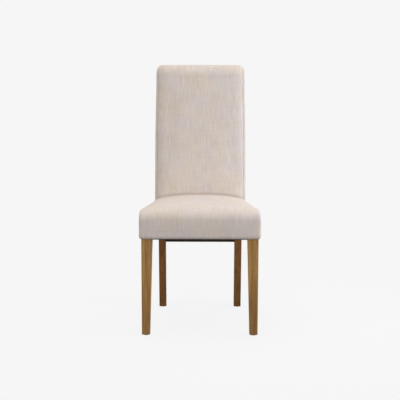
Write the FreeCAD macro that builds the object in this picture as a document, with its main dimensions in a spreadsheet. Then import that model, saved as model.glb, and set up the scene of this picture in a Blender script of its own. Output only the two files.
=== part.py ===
import FreeCAD, Part
import math
import os
import Sketcher

# Scroll back dining chair: a hardwood frame with an upholstered seat and back.
# Millimetres. +X is right as seen from the front, +Y is the rear, +Z is up.
# The origin is on the floor, under the middle of the chair's box.

# Driving dimensions, by alias
DIMENSIONS = {
    # overall
    "overall_depth": 620.0,
    "back_height": 1055.0,
    "seat_width": 470.0,
    "back_width": 383.0,
    # seat cover
    "cover_thickness": 2.0,
    "seat_base": 378.0,
    "crown_height": 504.0,
    "crown_drop": 34.0,
    "crown_tilt": 4.3,
    "side_tilt": -3.0,
    "crown_overrun": 5.0,
    "front_round": 44.0,
    "seat_edge_round": 12.0,
    "seat_base_round": 9.0,
    "hem_width": 18.0,
    # back cover
    "back_rake": 9.0,
    "rear_rake": 6.5,
    "roll_radius": 50.0,
    "roll_fillet": 10.0,
    "back_crown": 8.0,
    "back_edge_round": 20.0,
    "rear_kink_radius": 600.0,
    "rear_kink_height": 475.0,
    "seam_inset": 7.0,
    "back_lining_drop": 5.0,
    # layers of the back
    "front_padding": 26.0,
    "rear_padding": 4.0,
    "board_gap": 0.1,
    "board_drop": 4.0,
    "strap_space": 2.0,
    # back posts
    "post_width": 30.0,
    "post_outer": 178.5,
    "post_rear": 202.0,
    "joint_top": 470.0,
    "joint_bottom": 350.0,
    "leg_bend_radius": 600.0,
    "leg_front_rake": 12.0,
    "leg_rear_rake": 8.7,
    "neck_share": 0.99,
    "edge_runout": 10.0,
    # front legs
    "leg_size": 42.5,
    "leg_foot": 31.5,
    "leg_outer": 226.0,
    "leg_outer_taper": 1.0,
    "leg_setback": 10.0,
    "leg_edge_round": 1.5,
    "glide_height": 3.0,
    "glide_radius": 10.0,
    "glide_flare": 1.0,
    "nail_radius": 1.5,
    "nail_length": 16.0,
    # seat rails
    "rail_thickness": 22.0,
    "rail_height": 68.0,
    "side_rail_setback": 3.0,
    "side_rail_inset": 5.5,
    "rear_rail_base": 296.5,
    "rear_rail_front": 168.0,
    "rail_space": 6.0,
    # corner blocks
    "block_margin": 6.0,
    "front_block_near": 43.0,
    "front_block_far": 91.0,
    "rear_block_near": 26.0,
    "rear_block_far": 72.0,
    # back rails
    "back_rail_height": 55.0,
    "back_rail_thickness": 22.0,
    "lower_rail_base": 490.0,
    "upper_rail_base": 885.0,
    # webbing
    "strap_width": 50.0,
    "strap_thickness": 1.4,
    "strap_lift": 1.7,
    "strap_ramp": 8.0,
    "strap_clearance": 1.0,
    "strap_setback": 2.0,
    "back_strap_setback": 4.0,
    "long_strap_pitch": 76.0,
    "cross_strap_pitch": 92.0,
    "cross_strap_first": -232.0,
    "back_strap_base": 585.0,
    "back_strap_pitch": 74.0,
    # cloths
    "cloth_thickness": 0.8,
    "cloth_setback": 1.0,
    "dust_cover_inset": 8.0,
    "leg_clearance": 0.5,
    # fasteners
    "dowel_radius": 4.0,
    "dowel_half": 17.0,
    "dowel_edge": 18.0,
    "scroll_dowel_gap": 11.0,
    "screw_radius": 2.0,
    "screw_head_radius": 4.0,
    "screw_head_height": 2.5,
    "screw_grip": 18.0,
    "screw_bite": 15.0,
    "screw_bore_radius": 4.5,
}

LONG_STRAPS = 4
CROSS_STRAPS = 4
BACK_STRAPS = 4
SIDES = {"left": -1, "right": 1}
REACH = 150.0          # how far a cutting region reaches past what it cuts
SEAT_STATIONS = (-1.0, -0.5, 0.0, 0.5, 1.0)
BACK_STEPS = 3         # sections from the middle of the back to its rounded ends
EDGE_STEPS = 4         # sections round each end
QUARTER_TURN = 90.0
NEAR = 0.1             # how close a point on an edge lies to the face it belongs to
NEAR_SIDE = 0.5        # the same on the seat's crowned sides

doc = FreeCAD.newDocument("scroll_back_chair")
sheet = doc.addObject("Spreadsheet::Sheet", "dims")
sub_parts = []


# Dimensions that carry both their number and the expression that binds them
class Dim:
    def __init__(self, number, text):
        self.number = number
        self.text = text

    def __add__(self, other):
        other = as_dim(other)
        return Dim(self.number + other.number, f"({self.text} + {other.text})")

    def __sub__(self, other):
        other = as_dim(other)
        return Dim(self.number - other.number, f"({self.text} - {other.text})")

    def __mul__(self, other):
        other = as_dim(other)
        return Dim(self.number * other.number, f"({self.text} * {other.text})")

    def __truediv__(self, other):
        other = as_dim(other)
        return Dim(self.number / other.number, f"({self.text} / {other.text})")

    def __radd__(self, other):
        return as_dim(other) + self

    def __rsub__(self, other):
        return as_dim(other) - self

    def __rmul__(self, other):
        return as_dim(other) * self

    def __rtruediv__(self, other):
        return as_dim(other) / self

    def __neg__(self):
        return as_dim(0.0) - self


class Sheet:
    def __getattr__(self, alias):
        return Dim(DIMENSIONS[alias], f"dims.{alias}")


def as_dim(value):
    if isinstance(value, Dim):
        return value
    return Dim(float(value), f"({float(value)})")


def sine(angle):
    return Dim(math.sin(math.radians(angle.number)), f"sin({angle.text})")


def cosine(angle):
    return Dim(math.cos(math.radians(angle.number)), f"cos({angle.text})")


def tangent(angle):
    return Dim(math.tan(math.radians(angle.number)), f"tan({angle.text})")


def root(value):
    return Dim(math.sqrt(value.number), f"sqrt({value.text})")


def fill_sheet():
    for row, (alias, number) in enumerate(DIMENSIONS.items(), start=1):
        sheet.set(f"A{row}", alias.replace("_", " "))
        sheet.set(f"B{row}", str(number))
        sheet.setAlias(f"B{row}", alias)
    doc.recompute()


fill_sheet()
d = Sheet()

# Levels and lines that several pieces share
half_depth = d.overall_depth / 2
roll_y = half_depth - d.roll_radius
roll_z = d.back_height - d.roll_radius
half_back = d.back_width / 2
rail_base = d.seat_base + d.cover_thickness
rail_top = rail_base + d.rail_height
deck = rail_top + d.rail_space
leg_front = d.leg_setback - half_depth
leg_rear = leg_front + d.leg_size
leg_inner = d.leg_outer - d.leg_size
post_inner = d.post_outer - d.post_width
wood_radius = d.roll_radius - d.front_padding
rear_face = d.post_rear + d.rear_padding


def front_line(height, depth=0.0):
    """Y of the raked front face of the back, at a depth behind its cover."""
    reach = (d.roll_radius - depth) / cosine(d.back_rake)
    return roll_y - reach + (height - roll_z) * tangent(d.back_rake)


def rear_line(height, depth=0.0):
    """Y of the raked rear face of the back, at a depth in front of its cover."""
    rise = (height - d.rear_kink_height) * tangent(d.rear_rake)
    return rear_face + rise - depth / cosine(d.rear_rake)


def seat_side(y):
    """Half width of the seat, which narrows from its front to the back."""
    widest = d.seat_edge_round - half_depth
    taper = (d.seat_width - d.back_width) / 2 / (front_line(d.crown_height) - widest)
    return d.seat_width / 2 - (y - widest) * taper


post_front = front_line(d.joint_top, d.front_padding)
side_rail_front = d.leg_outer - d.side_rail_setback
side_rail_rear = d.post_outer - d.side_rail_inset
side_rail_slope = (side_rail_front - side_rail_rear) / (post_front - leg_rear)


def side_rail_outer(y):
    return side_rail_front - (y - leg_rear) * side_rail_slope


def side_rail_inner(y):
    return side_rail_outer(y) - d.rail_thickness


# Making and binding document objects
def bind(thing, setting, value):
    thing.setExpression(setting, as_dim(value).text)


def place(thing, x, y, z):
    for axis, value in zip("xyz", (x, y, z)):
        bind(thing, f".Placement.Base.{axis}", value)


def new_body(name):
    return doc.addObject("PartDesign::Body", name)


def arc_middle(start, end, centre, radius):
    along = (start + end) / 2 - centre
    return centre + along.normalize() * radius


def turns_left(start, middle, end):
    first = middle - start
    second = end - middle
    return first.x * second.y - first.y * second.x > 0


def draw_outline(sketch, outline):
    """Closed outline: a corner is (u, v), or (u, v, centre_u, centre_v, radius) where an arc follows."""
    corners = [FreeCAD.Vector(as_dim(c[0]).number, as_dim(c[1]).number, 0) for c in outline]
    ends = []
    for index, corner in enumerate(outline):
        start = corners[index]
        end = corners[(index + 1) % len(corners)]
        if len(corner) == 2:
            edge = sketch.addGeometry(Part.LineSegment(start, end))
            ends.append((edge, 1, 2))
            continue
        centre = FreeCAD.Vector(as_dim(corner[2]).number, as_dim(corner[3]).number, 0)
        middle = arc_middle(start, end, centre, as_dim(corner[4]).number)
        if turns_left(start, middle, end):
            edge = sketch.addGeometry(Part.Arc(start, middle, end))
            ends.append((edge, 1, 2))
        else:
            edge = sketch.addGeometry(Part.Arc(end, middle, start))
            ends.append((edge, 2, 1))
    for index, (edge, first, last) in enumerate(ends):
        following, following_first, unused_last = ends[(index + 1) % len(ends)]
        sketch.addConstraint(Sketcher.Constraint("Coincident", edge, last, following, following_first))
    for corner, (edge, first, last) in zip(outline, ends):
        for kind, value in zip(("DistanceX", "DistanceY"), corner[:2]):
            constraint = Sketcher.Constraint(kind, edge, first, as_dim(value).number)
            bind_constraint(sketch, constraint, value)
        if len(corner) > 2:
            radius = as_dim(corner[4])
            bind_constraint(sketch, Sketcher.Constraint("Radius", edge, radius.number), radius)


def bind_constraint(sketch, constraint, value):
    index = sketch.addConstraint(constraint)
    bind(sketch, f"Constraints[{index}]", value)


def add_sketch(body, name, role, outline, offset):
    sketch = body.newObject("Sketcher::SketchObject", name)
    plane = next(item for item in body.Origin.OriginFeatures if item.Role == role)
    sketch.AttachmentSupport = [(plane, "")]
    sketch.MapMode = "FlatFace"
    bind(sketch, ".AttachmentOffset.Base.z", offset)
    draw_outline(sketch, outline)
    return sketch


def add_pad(body, name, role, outline, offset, length):
    pad = body.newObject("PartDesign::Pad", f"{name}_pad")
    pad.Profile = add_sketch(body, f"{name}_sketch", role, outline, offset)
    bind(pad, "Length", length)
    return pad


def plan_pad(name, outline, base, height):
    """A plan outline raised from a level."""
    body = new_body(name)
    add_pad(body, name, "XY_Plane", outline, base, height)
    return body


def profile_pad(name, outline, start, width):
    """A side profile in the YZ plane carried along +X."""
    body = new_body(name)
    add_pad(body, name, "YZ_Plane", outline, start, width)
    return body


def add_loft(body, name, role, sections):
    """A smooth skin through (offset, outline) sections."""
    sketches = []
    for number, (offset, outline) in enumerate(sections):
        sketches.append(add_sketch(body, f"{name}_section_{number}", role, outline, offset))
    loft = body.newObject("PartDesign::AdditiveLoft", f"{name}_loft")
    loft.Profile = sketches[0]
    loft.Sections = sketches[1:]
    return loft


def add_fillet(body, base, name, chosen, radius):
    """Round the edges of a feature whose middle point is chosen."""
    doc.recompute()
    names = []
    for number, edge in enumerate(base.Shape.Edges, start=1):
        middle = edge.valueAt((edge.FirstParameter + edge.LastParameter) / 2)
        if chosen(middle):
            names.append(f"Edge{number}")
    fillet = body.newObject("PartDesign::Fillet", name)
    fillet.Base = (base, names)
    bind(fillet, "Radius", radius)
    return fillet


def block(name, x, y, z, length, width, height):
    box = doc.addObject("Part::Box", name)
    bind(box, "Length", length)
    bind(box, "Width", width)
    bind(box, "Height", height)
    place(box, x, y, z)
    return box


TURNS = {
    "X": FreeCAD.Rotation(FreeCAD.Vector(0, 1, 0), 90),
    "-X": FreeCAD.Rotation(FreeCAD.Vector(0, 1, 0), -90),
    "Y": FreeCAD.Rotation(FreeCAD.Vector(1, 0, 0), -90),
    "-Y": FreeCAD.Rotation(FreeCAD.Vector(1, 0, 0), 90),
    "Z": FreeCAD.Rotation(),
}


def rod(name, axis, x, y, z, radius, length):
    cylinder = doc.addObject("Part::Cylinder", name)
    bind(cylinder, "Radius", radius)
    bind(cylinder, "Height", length)
    cylinder.Placement = FreeCAD.Placement(FreeCAD.Vector(), TURNS[axis])
    place(cylinder, x, y, z)
    return cylinder


def group(name, members):
    compound = doc.addObject("Part::Compound", name)
    compound.Links = members
    return compound


def boolean(kind, name, base, tool):
    result = doc.addObject(f"Part::{kind}", name)
    result.Base = base
    result.Tool = tool
    return result


def cut(name, base, tool):
    return boolean("Cut", name, base, tool)


def common(name, base, tool):
    return boolean("Common", name, base, tool)


def keep(label, thing):
    """Make a finished object one of the chair's sub-parts."""
    thing.Label = label
    sub_parts.append(thing)
    return thing


# The outer form of the seat and of the back, and the same forms inside their covers
def seat_section(depth, drop, tilt):
    """Side profile of the seat: upright front, rounded front edge, tilted top."""
    radius = d.front_round - depth
    front = depth - half_depth
    centre_y = radius + front
    top = d.crown_height - drop - depth
    run = front_line(d.crown_height) - centre_y + radius * sine(tilt)
    centre_z = top - run * tangent(tilt) - radius * cosine(tilt)
    crest_y = centre_y - radius * sine(tilt)
    crest_z = centre_z + radius * cosine(tilt)
    base = d.seat_base + depth
    overlap = d.back_edge_round
    rear_base = front_line(base) + overlap
    rear_top = front_line(d.crown_height) + overlap
    rear_z = crest_z + (rear_top - crest_y) * tangent(tilt)
    return [
        (rear_base, base),
        (front, base),
        (front, centre_z, centre_y, centre_z, radius),
        (crest_y, crest_z),
        (rear_top, rear_z),
    ]


def seat_form(name, depth):
    body = new_body(name)
    reach = d.seat_width / 2 + d.crown_overrun
    sections = []
    for station in SEAT_STATIONS:
        drop = d.crown_drop * station ** 2
        tilt = d.crown_tilt * (1 - station ** 2) + d.side_tilt
        sections.append((reach * station, seat_section(depth, drop, tilt)))
    add_loft(body, name, "YZ_Plane", sections)
    trim = add_side_trim(body, name, depth)
    rear = front_line(d.seat_base).number
    base = (d.seat_base + depth).number

    def on_side(point):
        side = (seat_side(point.y) - depth).number
        return abs(abs(point.x) - side) < NEAR_SIDE

    def on_base(point):
        return abs(point.z - base) < NEAR

    def round_edge(point):
        return on_side(point) and not on_base(point) and point.y < rear

    def base_edge(point):
        return on_base(point) and point.y < rear

    rounded = add_fillet(body, trim, f"{name}_edges", round_edge, d.seat_edge_round - depth)
    add_fillet(body, rounded, f"{name}_base_edge", base_edge, d.seat_base_round - depth)
    return body


def add_side_trim(body, name, depth):
    """Cut the seat's tapered sides with one sketch on each side."""
    previous = None
    for label, side in SIDES.items():
        front = -half_depth - REACH
        rear = half_depth
        outline = [
            (side * (seat_side(front) - depth), front),
            (side * (d.seat_width / 2 + REACH), front),
            (side * (d.seat_width / 2 + REACH), rear),
            (side * (seat_side(rear) - depth), rear),
        ]
        pocket = body.newObject("PartDesign::Pocket", f"{name}_{label}_trim")
        pocket.Profile = add_sketch(body, f"{name}_{label}_trim_sketch", "XY_Plane", outline, 0.0)
        pocket.Type = "ThroughAll"
        pocket.Midplane = True
        previous = pocket
    return previous


def roll_fillet_centre(radius, centre_y, centre_z):
    """Centre of the hollow between the roll and the rear face."""
    inside = rear_line(centre_z) - centre_y
    ahead = d.roll_fillet + inside * cosine(d.rear_rake)
    down = root((radius + d.roll_fillet) * (radius + d.roll_fillet) - ahead * ahead)
    y = centre_y + ahead * cosine(d.rear_rake) - down * sine(d.rear_rake)
    z = centre_z - ahead * sine(d.rear_rake) - down * cosine(d.rear_rake)
    return y, z


def back_section(depth, recess, base):
    """Side profile of the back: raked front, roll, hollow under the roll, raked rear."""
    radius = d.roll_radius - recess / 2
    centre_y = roll_y + recess / 2 * cosine(d.back_rake)
    centre_z = roll_z - recess / 2 * sine(d.back_rake)
    hollow_y, hollow_z = roll_fillet_centre(radius, centre_y, centre_z)
    share = (radius - depth) / (radius + d.roll_fillet)
    hollow = d.roll_fillet + depth
    inner = radius - depth
    kink = d.rear_kink_radius
    kink_run = kink * tangent(d.rear_rake / 2)
    kink_z = d.rear_kink_height - kink_run
    kink_y = rear_face + kink
    turned = kink + depth
    return [
        (front_line(base, depth + recess), base),
        (centre_y - inner * cosine(d.back_rake), centre_z + inner * sine(d.back_rake),
         centre_y, centre_z, inner),
        (centre_y, centre_z + inner, centre_y, centre_z, inner),
        (centre_y + inner, centre_z, centre_y, centre_z, inner),
        (centre_y + (hollow_y - centre_y) * share, centre_z + (hollow_z - centre_z) * share,
         hollow_y, hollow_z, hollow),
        (hollow_y - hollow * cosine(d.rear_rake), hollow_z + hollow * sine(d.rear_rake)),
        (kink_y - turned * cosine(d.rear_rake), kink_z + turned * sine(d.rear_rake),
         kink_y, kink_z, turned),
        (rear_face - depth, kink_z),
        (rear_face - depth, base),
    ]


def back_form(name, depth, base):
    """The crowned middle of the back, and a rounded end on each side."""
    body = new_body(name)
    edge = d.back_edge_round - depth
    reach = half_back - depth
    flat = reach - edge

    def section(x, inset):
        recess = d.back_crown * fourth_power(x / reach)
        return x, back_section(depth + inset, recess, base)

    middle = [section(flat * (step / BACK_STEPS), 0.0) for step in range(-BACK_STEPS, BACK_STEPS + 1)]
    add_loft(body, f"{name}_middle", "YZ_Plane", middle)
    for label, side in SIDES.items():
        turned = []
        for step in range(EDGE_STEPS + 1):
            angle = as_dim(QUARTER_TURN * step / EDGE_STEPS)
            turned.append(section(side * (flat + edge * sine(angle)), edge * (1 - cosine(angle))))
        add_loft(body, f"{name}_{label}_end", "YZ_Plane", turned)
    return body


def fourth_power(value):
    return value * value * value * value


# Wooden frame
def front_leg(label, side, holes):
    """Square at the rails, tapering on its two inner faces to the foot."""
    body = new_body(f"{label}_blank")

    def square(size, inset):
        outer = d.leg_outer - inset
        inner = outer - size
        front = leg_front + inset
        return [
            (side * outer, front),
            (side * outer, front + size),
            (side * inner, front + size),
            (side * inner, front),
        ]

    foot = square(d.leg_foot, d.leg_outer_taper)
    head = square(d.leg_size, as_dim(0.0))
    add_loft(body, f"{label}_taper", "XY_Plane", [(d.glide_height, foot), (d.seat_base, head)])
    pad = add_pad(body, f"{label}_head", "XY_Plane", head, d.seat_base, rail_top - d.seat_base)

    def long_edge(point):
        level = d.seat_base.number / 2
        return abs(point.z - level) < level / 4

    def foot_edge(point):
        return abs(point.z - d.glide_height.number) < NEAR

    rounded = add_fillet(body, pad, f"{label}_edges", long_edge, d.leg_edge_round)
    add_fillet(body, rounded, f"{label}_foot_edge", foot_edge, d.leg_edge_round)
    return keep(label, cut(f"{label}_cut", body, holes))


def post_profile():
    """Rear leg, flat for the seat joint, raked upright and round scroll end."""
    bend = d.leg_bend_radius
    front_centre = post_front + bend
    rear_centre = d.post_rear + bend
    bend_z = d.joint_bottom
    front_bend_y = front_centre - bend * cosine(d.leg_front_rake)
    front_bend_z = bend_z - bend * sine(d.leg_front_rake)
    rear_bend_y = rear_centre - bend * cosine(d.leg_rear_rake)
    rear_bend_z = bend_z - bend * sine(d.leg_rear_rake)
    foot = d.glide_height
    front_foot = front_bend_y + (front_bend_z - foot) * tangent(d.leg_front_rake)
    rear_foot = rear_bend_y + (rear_bend_z - foot) * tangent(d.leg_rear_rake)
    neck_z = roll_z - wood_radius * d.neck_share
    neck_y = rear_line(neck_z, d.rear_padding)
    return [
        (front_foot, foot),
        (front_bend_y, front_bend_z, front_centre, bend_z, bend),
        (post_front, bend_z),
        (post_front, d.joint_top),
        (roll_y - wood_radius * cosine(d.back_rake), roll_z + wood_radius * sine(d.back_rake),
         roll_y, roll_z, wood_radius),
        (roll_y, roll_z + wood_radius, roll_y, roll_z, wood_radius),
        (roll_y + wood_radius, roll_z, roll_y, roll_z, wood_radius),
        (neck_y, neck_z),
        (d.post_rear, d.rear_kink_height),
        (d.post_rear, bend_z, rear_centre, bend_z, bend),
        (rear_bend_y, rear_bend_z),
        (rear_foot, foot),
    ]


def rear_foot_middle():
    profile = post_profile()
    return (profile[0][0] + profile[-1][0]) / 2


def back_post(label, side, holes):
    start = side * d.post_outer if side < 0 else post_inner
    body = new_body(f"{label}_blank")
    pad = add_pad(body, label, "YZ_Plane", post_profile(), start, d.post_width)
    outer = d.post_outer.number
    inner = post_inner.number
    foot = d.glide_height.number
    runout = (d.rear_rail_base - d.edge_runout).number

    def leg_edge(point):
        on_face = min(abs(abs(point.x) - outer), abs(abs(point.x) - inner)) < NEAR
        return on_face and foot + NEAR < point.z < runout

    add_fillet(body, pad, f"{label}_edges", leg_edge, d.leg_edge_round)
    return keep(label, cut(f"{label}_cut", body, holes))


def seat_rails(holes):
    reach = d.rail_thickness + leg_front
    front = plan_pad("front_rail_blank", rectangle(-leg_inner, leg_front, leg_inner, reach),
                     rail_base, d.rail_height)
    keep("front_seat_rail", cut("front_rail_cut", front, holes))
    for label, side in SIDES.items():
        outline = [
            (side * side_rail_outer(leg_rear), leg_rear),
            (side * side_rail_outer(post_front), post_front),
            (side * side_rail_inner(post_front), post_front),
            (side * side_rail_inner(leg_rear), leg_rear),
        ]
        rail = plan_pad(f"{label}_rail_blank", outline, rail_base, d.rail_height)
        keep(f"{label}_seat_rail", cut(f"{label}_rail_cut", rail, holes))
    rear = plan_pad("rear_rail_blank",
                    rectangle(-post_inner, d.rear_rail_front, post_inner,
                              d.rear_rail_front + d.rail_thickness),
                    d.rear_rail_base, rail_top - d.rear_rail_base)
    keep("rear_seat_rail", cut("rear_rail_cut", rear, holes))


def rectangle(left, front, right, rear):
    return [(left, front), (right, front), (right, rear), (left, rear)]


CORNERS = {
    "front": (1, d.front_block_near, d.front_block_far),
    "rear": (-1, d.rear_block_near, d.rear_block_far),
}


def corner_line(end):
    """Y of the end rail's inner face."""
    if end == "front":
        return leg_front + d.rail_thickness
    return d.rear_rail_front


def corner_block(end, label, side, holes):
    """Diagonal block between an end rail and a side rail."""
    inward, near, far = CORNERS[end]
    line = corner_line(end)
    corner_x = side_rail_inner(line)
    near_y = line + inward * near
    far_y = line + inward * far
    outline = [
        (side * (corner_x - near), line),
        (side * (corner_x - far), line),
        (side * side_rail_inner(far_y), far_y),
        (side * side_rail_inner(near_y), near_y),
    ]
    name = f"{end}_{label}_corner_block"
    blank = plan_pad(f"{name}_blank", outline, rail_base + d.block_margin,
                     d.rail_height - d.block_margin * 2)
    keep(name, cut(f"{name}_cut", blank, holes))


def raked_box(name, x, height, depth, length, thickness, tall):
    """A box that leans with the back, its front face at a depth behind the cover."""
    box = doc.addObject("Part::Box", name)
    bind(box, "Length", length)
    bind(box, "Width", thickness)
    bind(box, "Height", tall)
    box.Placement = FreeCAD.Placement(FreeCAD.Vector(), FreeCAD.Rotation(FreeCAD.Vector(1, 0, 0), 0))
    bind(box, ".Placement.Rotation.Angle", -d.back_rake)
    place(box, x, front_line(height, depth), height)
    return box


def back_rails(holes):
    for label, height in (("lower_back_rail", d.lower_rail_base), ("upper_back_rail", d.upper_rail_base)):
        rail = raked_box(f"{label}_blank", -post_inner, height, d.front_padding, post_inner * 2,
                         d.back_rail_thickness, d.back_rail_height)
        keep(label, cut(f"{label}_cut", rail, holes))
    scroll = rod("scroll_rail_blank", "X", -post_inner, roll_y, roll_z, wood_radius, post_inner * 2)
    keep("scroll_rail", cut("scroll_rail_cut", scroll, holes))


# Dowels and screws, which also cut their own holes
def seat_dowels():
    dowels = []
    levels = (rail_base + d.dowel_edge, rail_top - d.dowel_edge)
    length = d.dowel_half * 2
    rail_y = leg_front + d.rail_thickness / 2
    rear_y = d.rear_rail_front + d.rail_thickness / 2
    for label, side in SIDES.items():
        for number, level in enumerate(levels):
            tag = f"{label}_{number}"
            dowels.append(rod(f"front_dowel_{tag}", "X", side * leg_inner - d.dowel_half, rail_y, level,
                              d.dowel_radius, length))
            for end, y in (("front", leg_rear), ("rear", post_front)):
                x = side * (side_rail_outer(y) - d.rail_thickness / 2)
                dowels.append(rod(f"side_dowel_{end}_{tag}", "Y", x, y - d.dowel_half, level,
                                  d.dowel_radius, length))
        for number, level in enumerate((d.rear_rail_base + d.dowel_edge,
                                        (d.rear_rail_base + rail_top) / 2,
                                        rail_top - d.dowel_edge)):
            dowels.append(rod(f"rear_dowel_{label}_{number}", "X", side * post_inner - d.dowel_half,
                              rear_y, level, d.dowel_radius, length))
    return keep("seat_rail_dowels", group("seat_dowel_group", dowels))


def back_dowels():
    dowels = []
    length = d.dowel_half * 2
    spread = d.back_rail_height - d.dowel_edge * 2
    for label, side in SIDES.items():
        x = side * post_inner - d.dowel_half
        for rail, base in (("lower", d.lower_rail_base), ("upper", d.upper_rail_base)):
            for number in range(2):
                along = d.dowel_edge + spread * number
                across = d.back_rail_thickness / 2
                y = front_line(base, d.front_padding)
                y = y + along * sine(d.back_rake) + across * cosine(d.back_rake)
                z = base + along * cosine(d.back_rake) - across * sine(d.back_rake)
                dowels.append(rod(f"{rail}_dowel_{label}_{number}", "X", x, y, z, d.dowel_radius, length))
        for number, step in enumerate((-1, 1)):
            dowels.append(rod(f"scroll_dowel_{label}_{number}", "X", x, roll_y,
                              roll_z + step * d.scroll_dowel_gap, d.dowel_radius, length))
    return keep("back_rail_dowels", group("back_dowel_group", dowels))


def screw(name, axis, x, y, z):
    """Shank and cheese head on one axis, pointing along the axis from the head's seat."""
    shank = rod(f"{name}_shank", axis, x, y, z, d.screw_radius, d.screw_grip + d.screw_bite)
    head = rod(f"{name}_head", axis, x, y, z, d.screw_head_radius, d.screw_head_height)
    fused = doc.addObject("Part::Fuse", name)
    fused.Base = shank
    fused.Tool = head
    return fused


def corner_screws():
    """Two screws from each block into each rail, and the bores that let them in."""
    screws = []
    bores = []
    levels = (rail_base + d.rail_height / 3, rail_top - d.rail_height / 3)
    for end, (inward, near, far) in CORNERS.items():
        line = corner_line(end)
        middle = (near + far) / 2
        for label, side in SIDES.items():
            for number, level in enumerate(levels):
                tag = f"{end}_{label}_{number}"
                x = side * (side_rail_inner(line) - middle)
                y = line + inward * d.screw_grip
                screws.append(screw(f"end_screw_{tag}", "-Y" if inward > 0 else "Y", x, y, level))
                bores.append(rod(f"end_bore_{tag}", "Y" if inward > 0 else "-Y", x, y, level,
                                 d.screw_bore_radius, REACH / 4))
                y = line + inward * middle
                x = side * (side_rail_inner(y) - d.screw_grip)
                screws.append(screw(f"side_screw_{tag}", "X" if side > 0 else "-X", x, y, level))
                bores.append(rod(f"side_bore_{tag}", "-X" if side > 0 else "X", x, y, level,
                                 d.screw_bore_radius, REACH / 4))
    kept = keep("corner_block_screws", group("corner_screw_group", screws))
    return kept, group("corner_bore_group", bores)


def glides():
    """Round nylon glides, each held by a steel nail up into the foot."""
    nails = []
    foot_x = d.leg_outer - d.leg_outer_taper - d.leg_foot / 2
    foot_y = leg_front + d.leg_outer_taper + d.leg_foot / 2
    post_x = (d.post_outer + post_inner) / 2
    places = []
    for label, side in SIDES.items():
        places.append((f"front_{label}_glide", side * foot_x, foot_y))
        places.append((f"rear_{label}_glide", side * post_x, rear_foot_middle()))
    for label, x, y in places:
        nails.append(rod(f"{label}_nail", "Z", x, y, d.glide_height / 2, d.nail_radius, d.nail_length))
    kept = keep("glide_nails", group("glide_nail_group", nails))
    for label, x, y in places:
        disc = doc.addObject("Part::Cone", f"{label}_disc")
        bind(disc, "Radius1", d.glide_radius)
        bind(disc, "Radius2", d.glide_radius + d.glide_flare)
        bind(disc, "Height", d.glide_height)
        place(disc, x, y, as_dim(0.0))
        keep(label, cut(f"{label}_cut", disc, kept))
    return kept


# Webbing
def woven_outline(start, end, crossings, over):
    """Edge profile of a strap that rides over some of the straps that it crosses."""
    lower = [(start, rail_top)]
    clear = d.strap_width / 2 + d.strap_clearance
    for number, crossing in enumerate(crossings):
        if not over(number):
            continue
        raised = rail_top + d.strap_lift
        lower.append((crossing - clear - d.strap_ramp, rail_top))
        lower.append((crossing - clear, raised))
        lower.append((crossing + clear, raised))
        lower.append((crossing + clear + d.strap_ramp, rail_top))
    lower.append((end, rail_top))
    upper = [(place_along, level + d.strap_thickness) for place_along, level in reversed(lower)]
    return lower + upper


def strap_places(count, first, pitch):
    return [first + pitch * number for number in range(count)]


def seat_webbing():
    columns = strap_places(LONG_STRAPS, -d.long_strap_pitch * (LONG_STRAPS - 1) / 2, d.long_strap_pitch)
    rows = strap_places(CROSS_STRAPS, d.cross_strap_first, d.cross_strap_pitch)
    front = leg_front + d.strap_setback
    rear = d.rear_rail_front + d.rail_thickness - d.strap_setback
    for number, x in enumerate(columns):
        outline = woven_outline(front, rear, rows, lambda crossing: (number + crossing) % 2 == 0)
        name = f"seat_strap_lengthwise_{number + 1}"
        body = profile_pad(f"{name}_body", outline, x - d.strap_width / 2, d.strap_width)
        keep(name, body)
    for number, y in enumerate(rows):
        reach = side_rail_outer(y + d.strap_width / 2) - d.strap_setback
        outline = woven_outline(-reach, reach, columns, lambda crossing: (number + crossing) % 2 == 1)
        name = f"seat_strap_crosswise_{number + 1}"
        body = new_body(f"{name}_body")
        add_pad(body, name, "XZ_Plane", outline, -y - d.strap_width / 2, d.strap_width)
        keep(name, body)


def back_webbing():
    reach = d.post_outer - d.back_strap_setback
    for number, height in enumerate(strap_places(BACK_STRAPS, d.back_strap_base, d.back_strap_pitch)):
        name = f"back_strap_{number + 1}"
        depth = d.front_padding - d.strap_thickness
        strap = raked_box(f"{name}_box", -reach, height, depth, reach * 2, d.strap_thickness, d.strap_width)
        keep(name, strap)


# Cloths under the seat and over the webbing
def platform_cloth():
    front = leg_front + d.cloth_setback
    rear = post_front - d.cloth_setback
    right_front = side_rail_front - d.cloth_setback
    right_rear = side_rail_outer(rear) - d.cloth_setback
    outline = [
        (-right_front, front),
        (right_front, front),
        (right_rear, rear),
        (-right_rear, rear),
    ]
    keep("platform_cloth", plan_pad("platform_cloth_body", outline, deck - d.cloth_thickness * 2,
                                    d.cloth_thickness))


def dust_cover():
    """Black cloth under the seat, notched round the front legs and the back posts."""
    front = d.dust_cover_inset - half_depth
    rear = d.rear_rail_front - d.cloth_setback
    inset = d.dust_cover_inset
    gap = d.leg_clearance
    leg_line = leg_rear + gap
    post_line = post_front - gap
    right = [
        (leg_inner - gap, front),
        (leg_inner - gap, leg_line),
        (seat_side(leg_line) - inset, leg_line),
        (side_rail_outer(post_line), post_line),
        (post_inner - gap, post_line),
        (post_inner - gap, rear),
    ]
    left = [(-x, y) for x, y in reversed(right)]
    keep("dust_cover", plan_pad("dust_cover_body", right + left, d.seat_base - d.cloth_thickness,
                                d.cloth_thickness))


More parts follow.
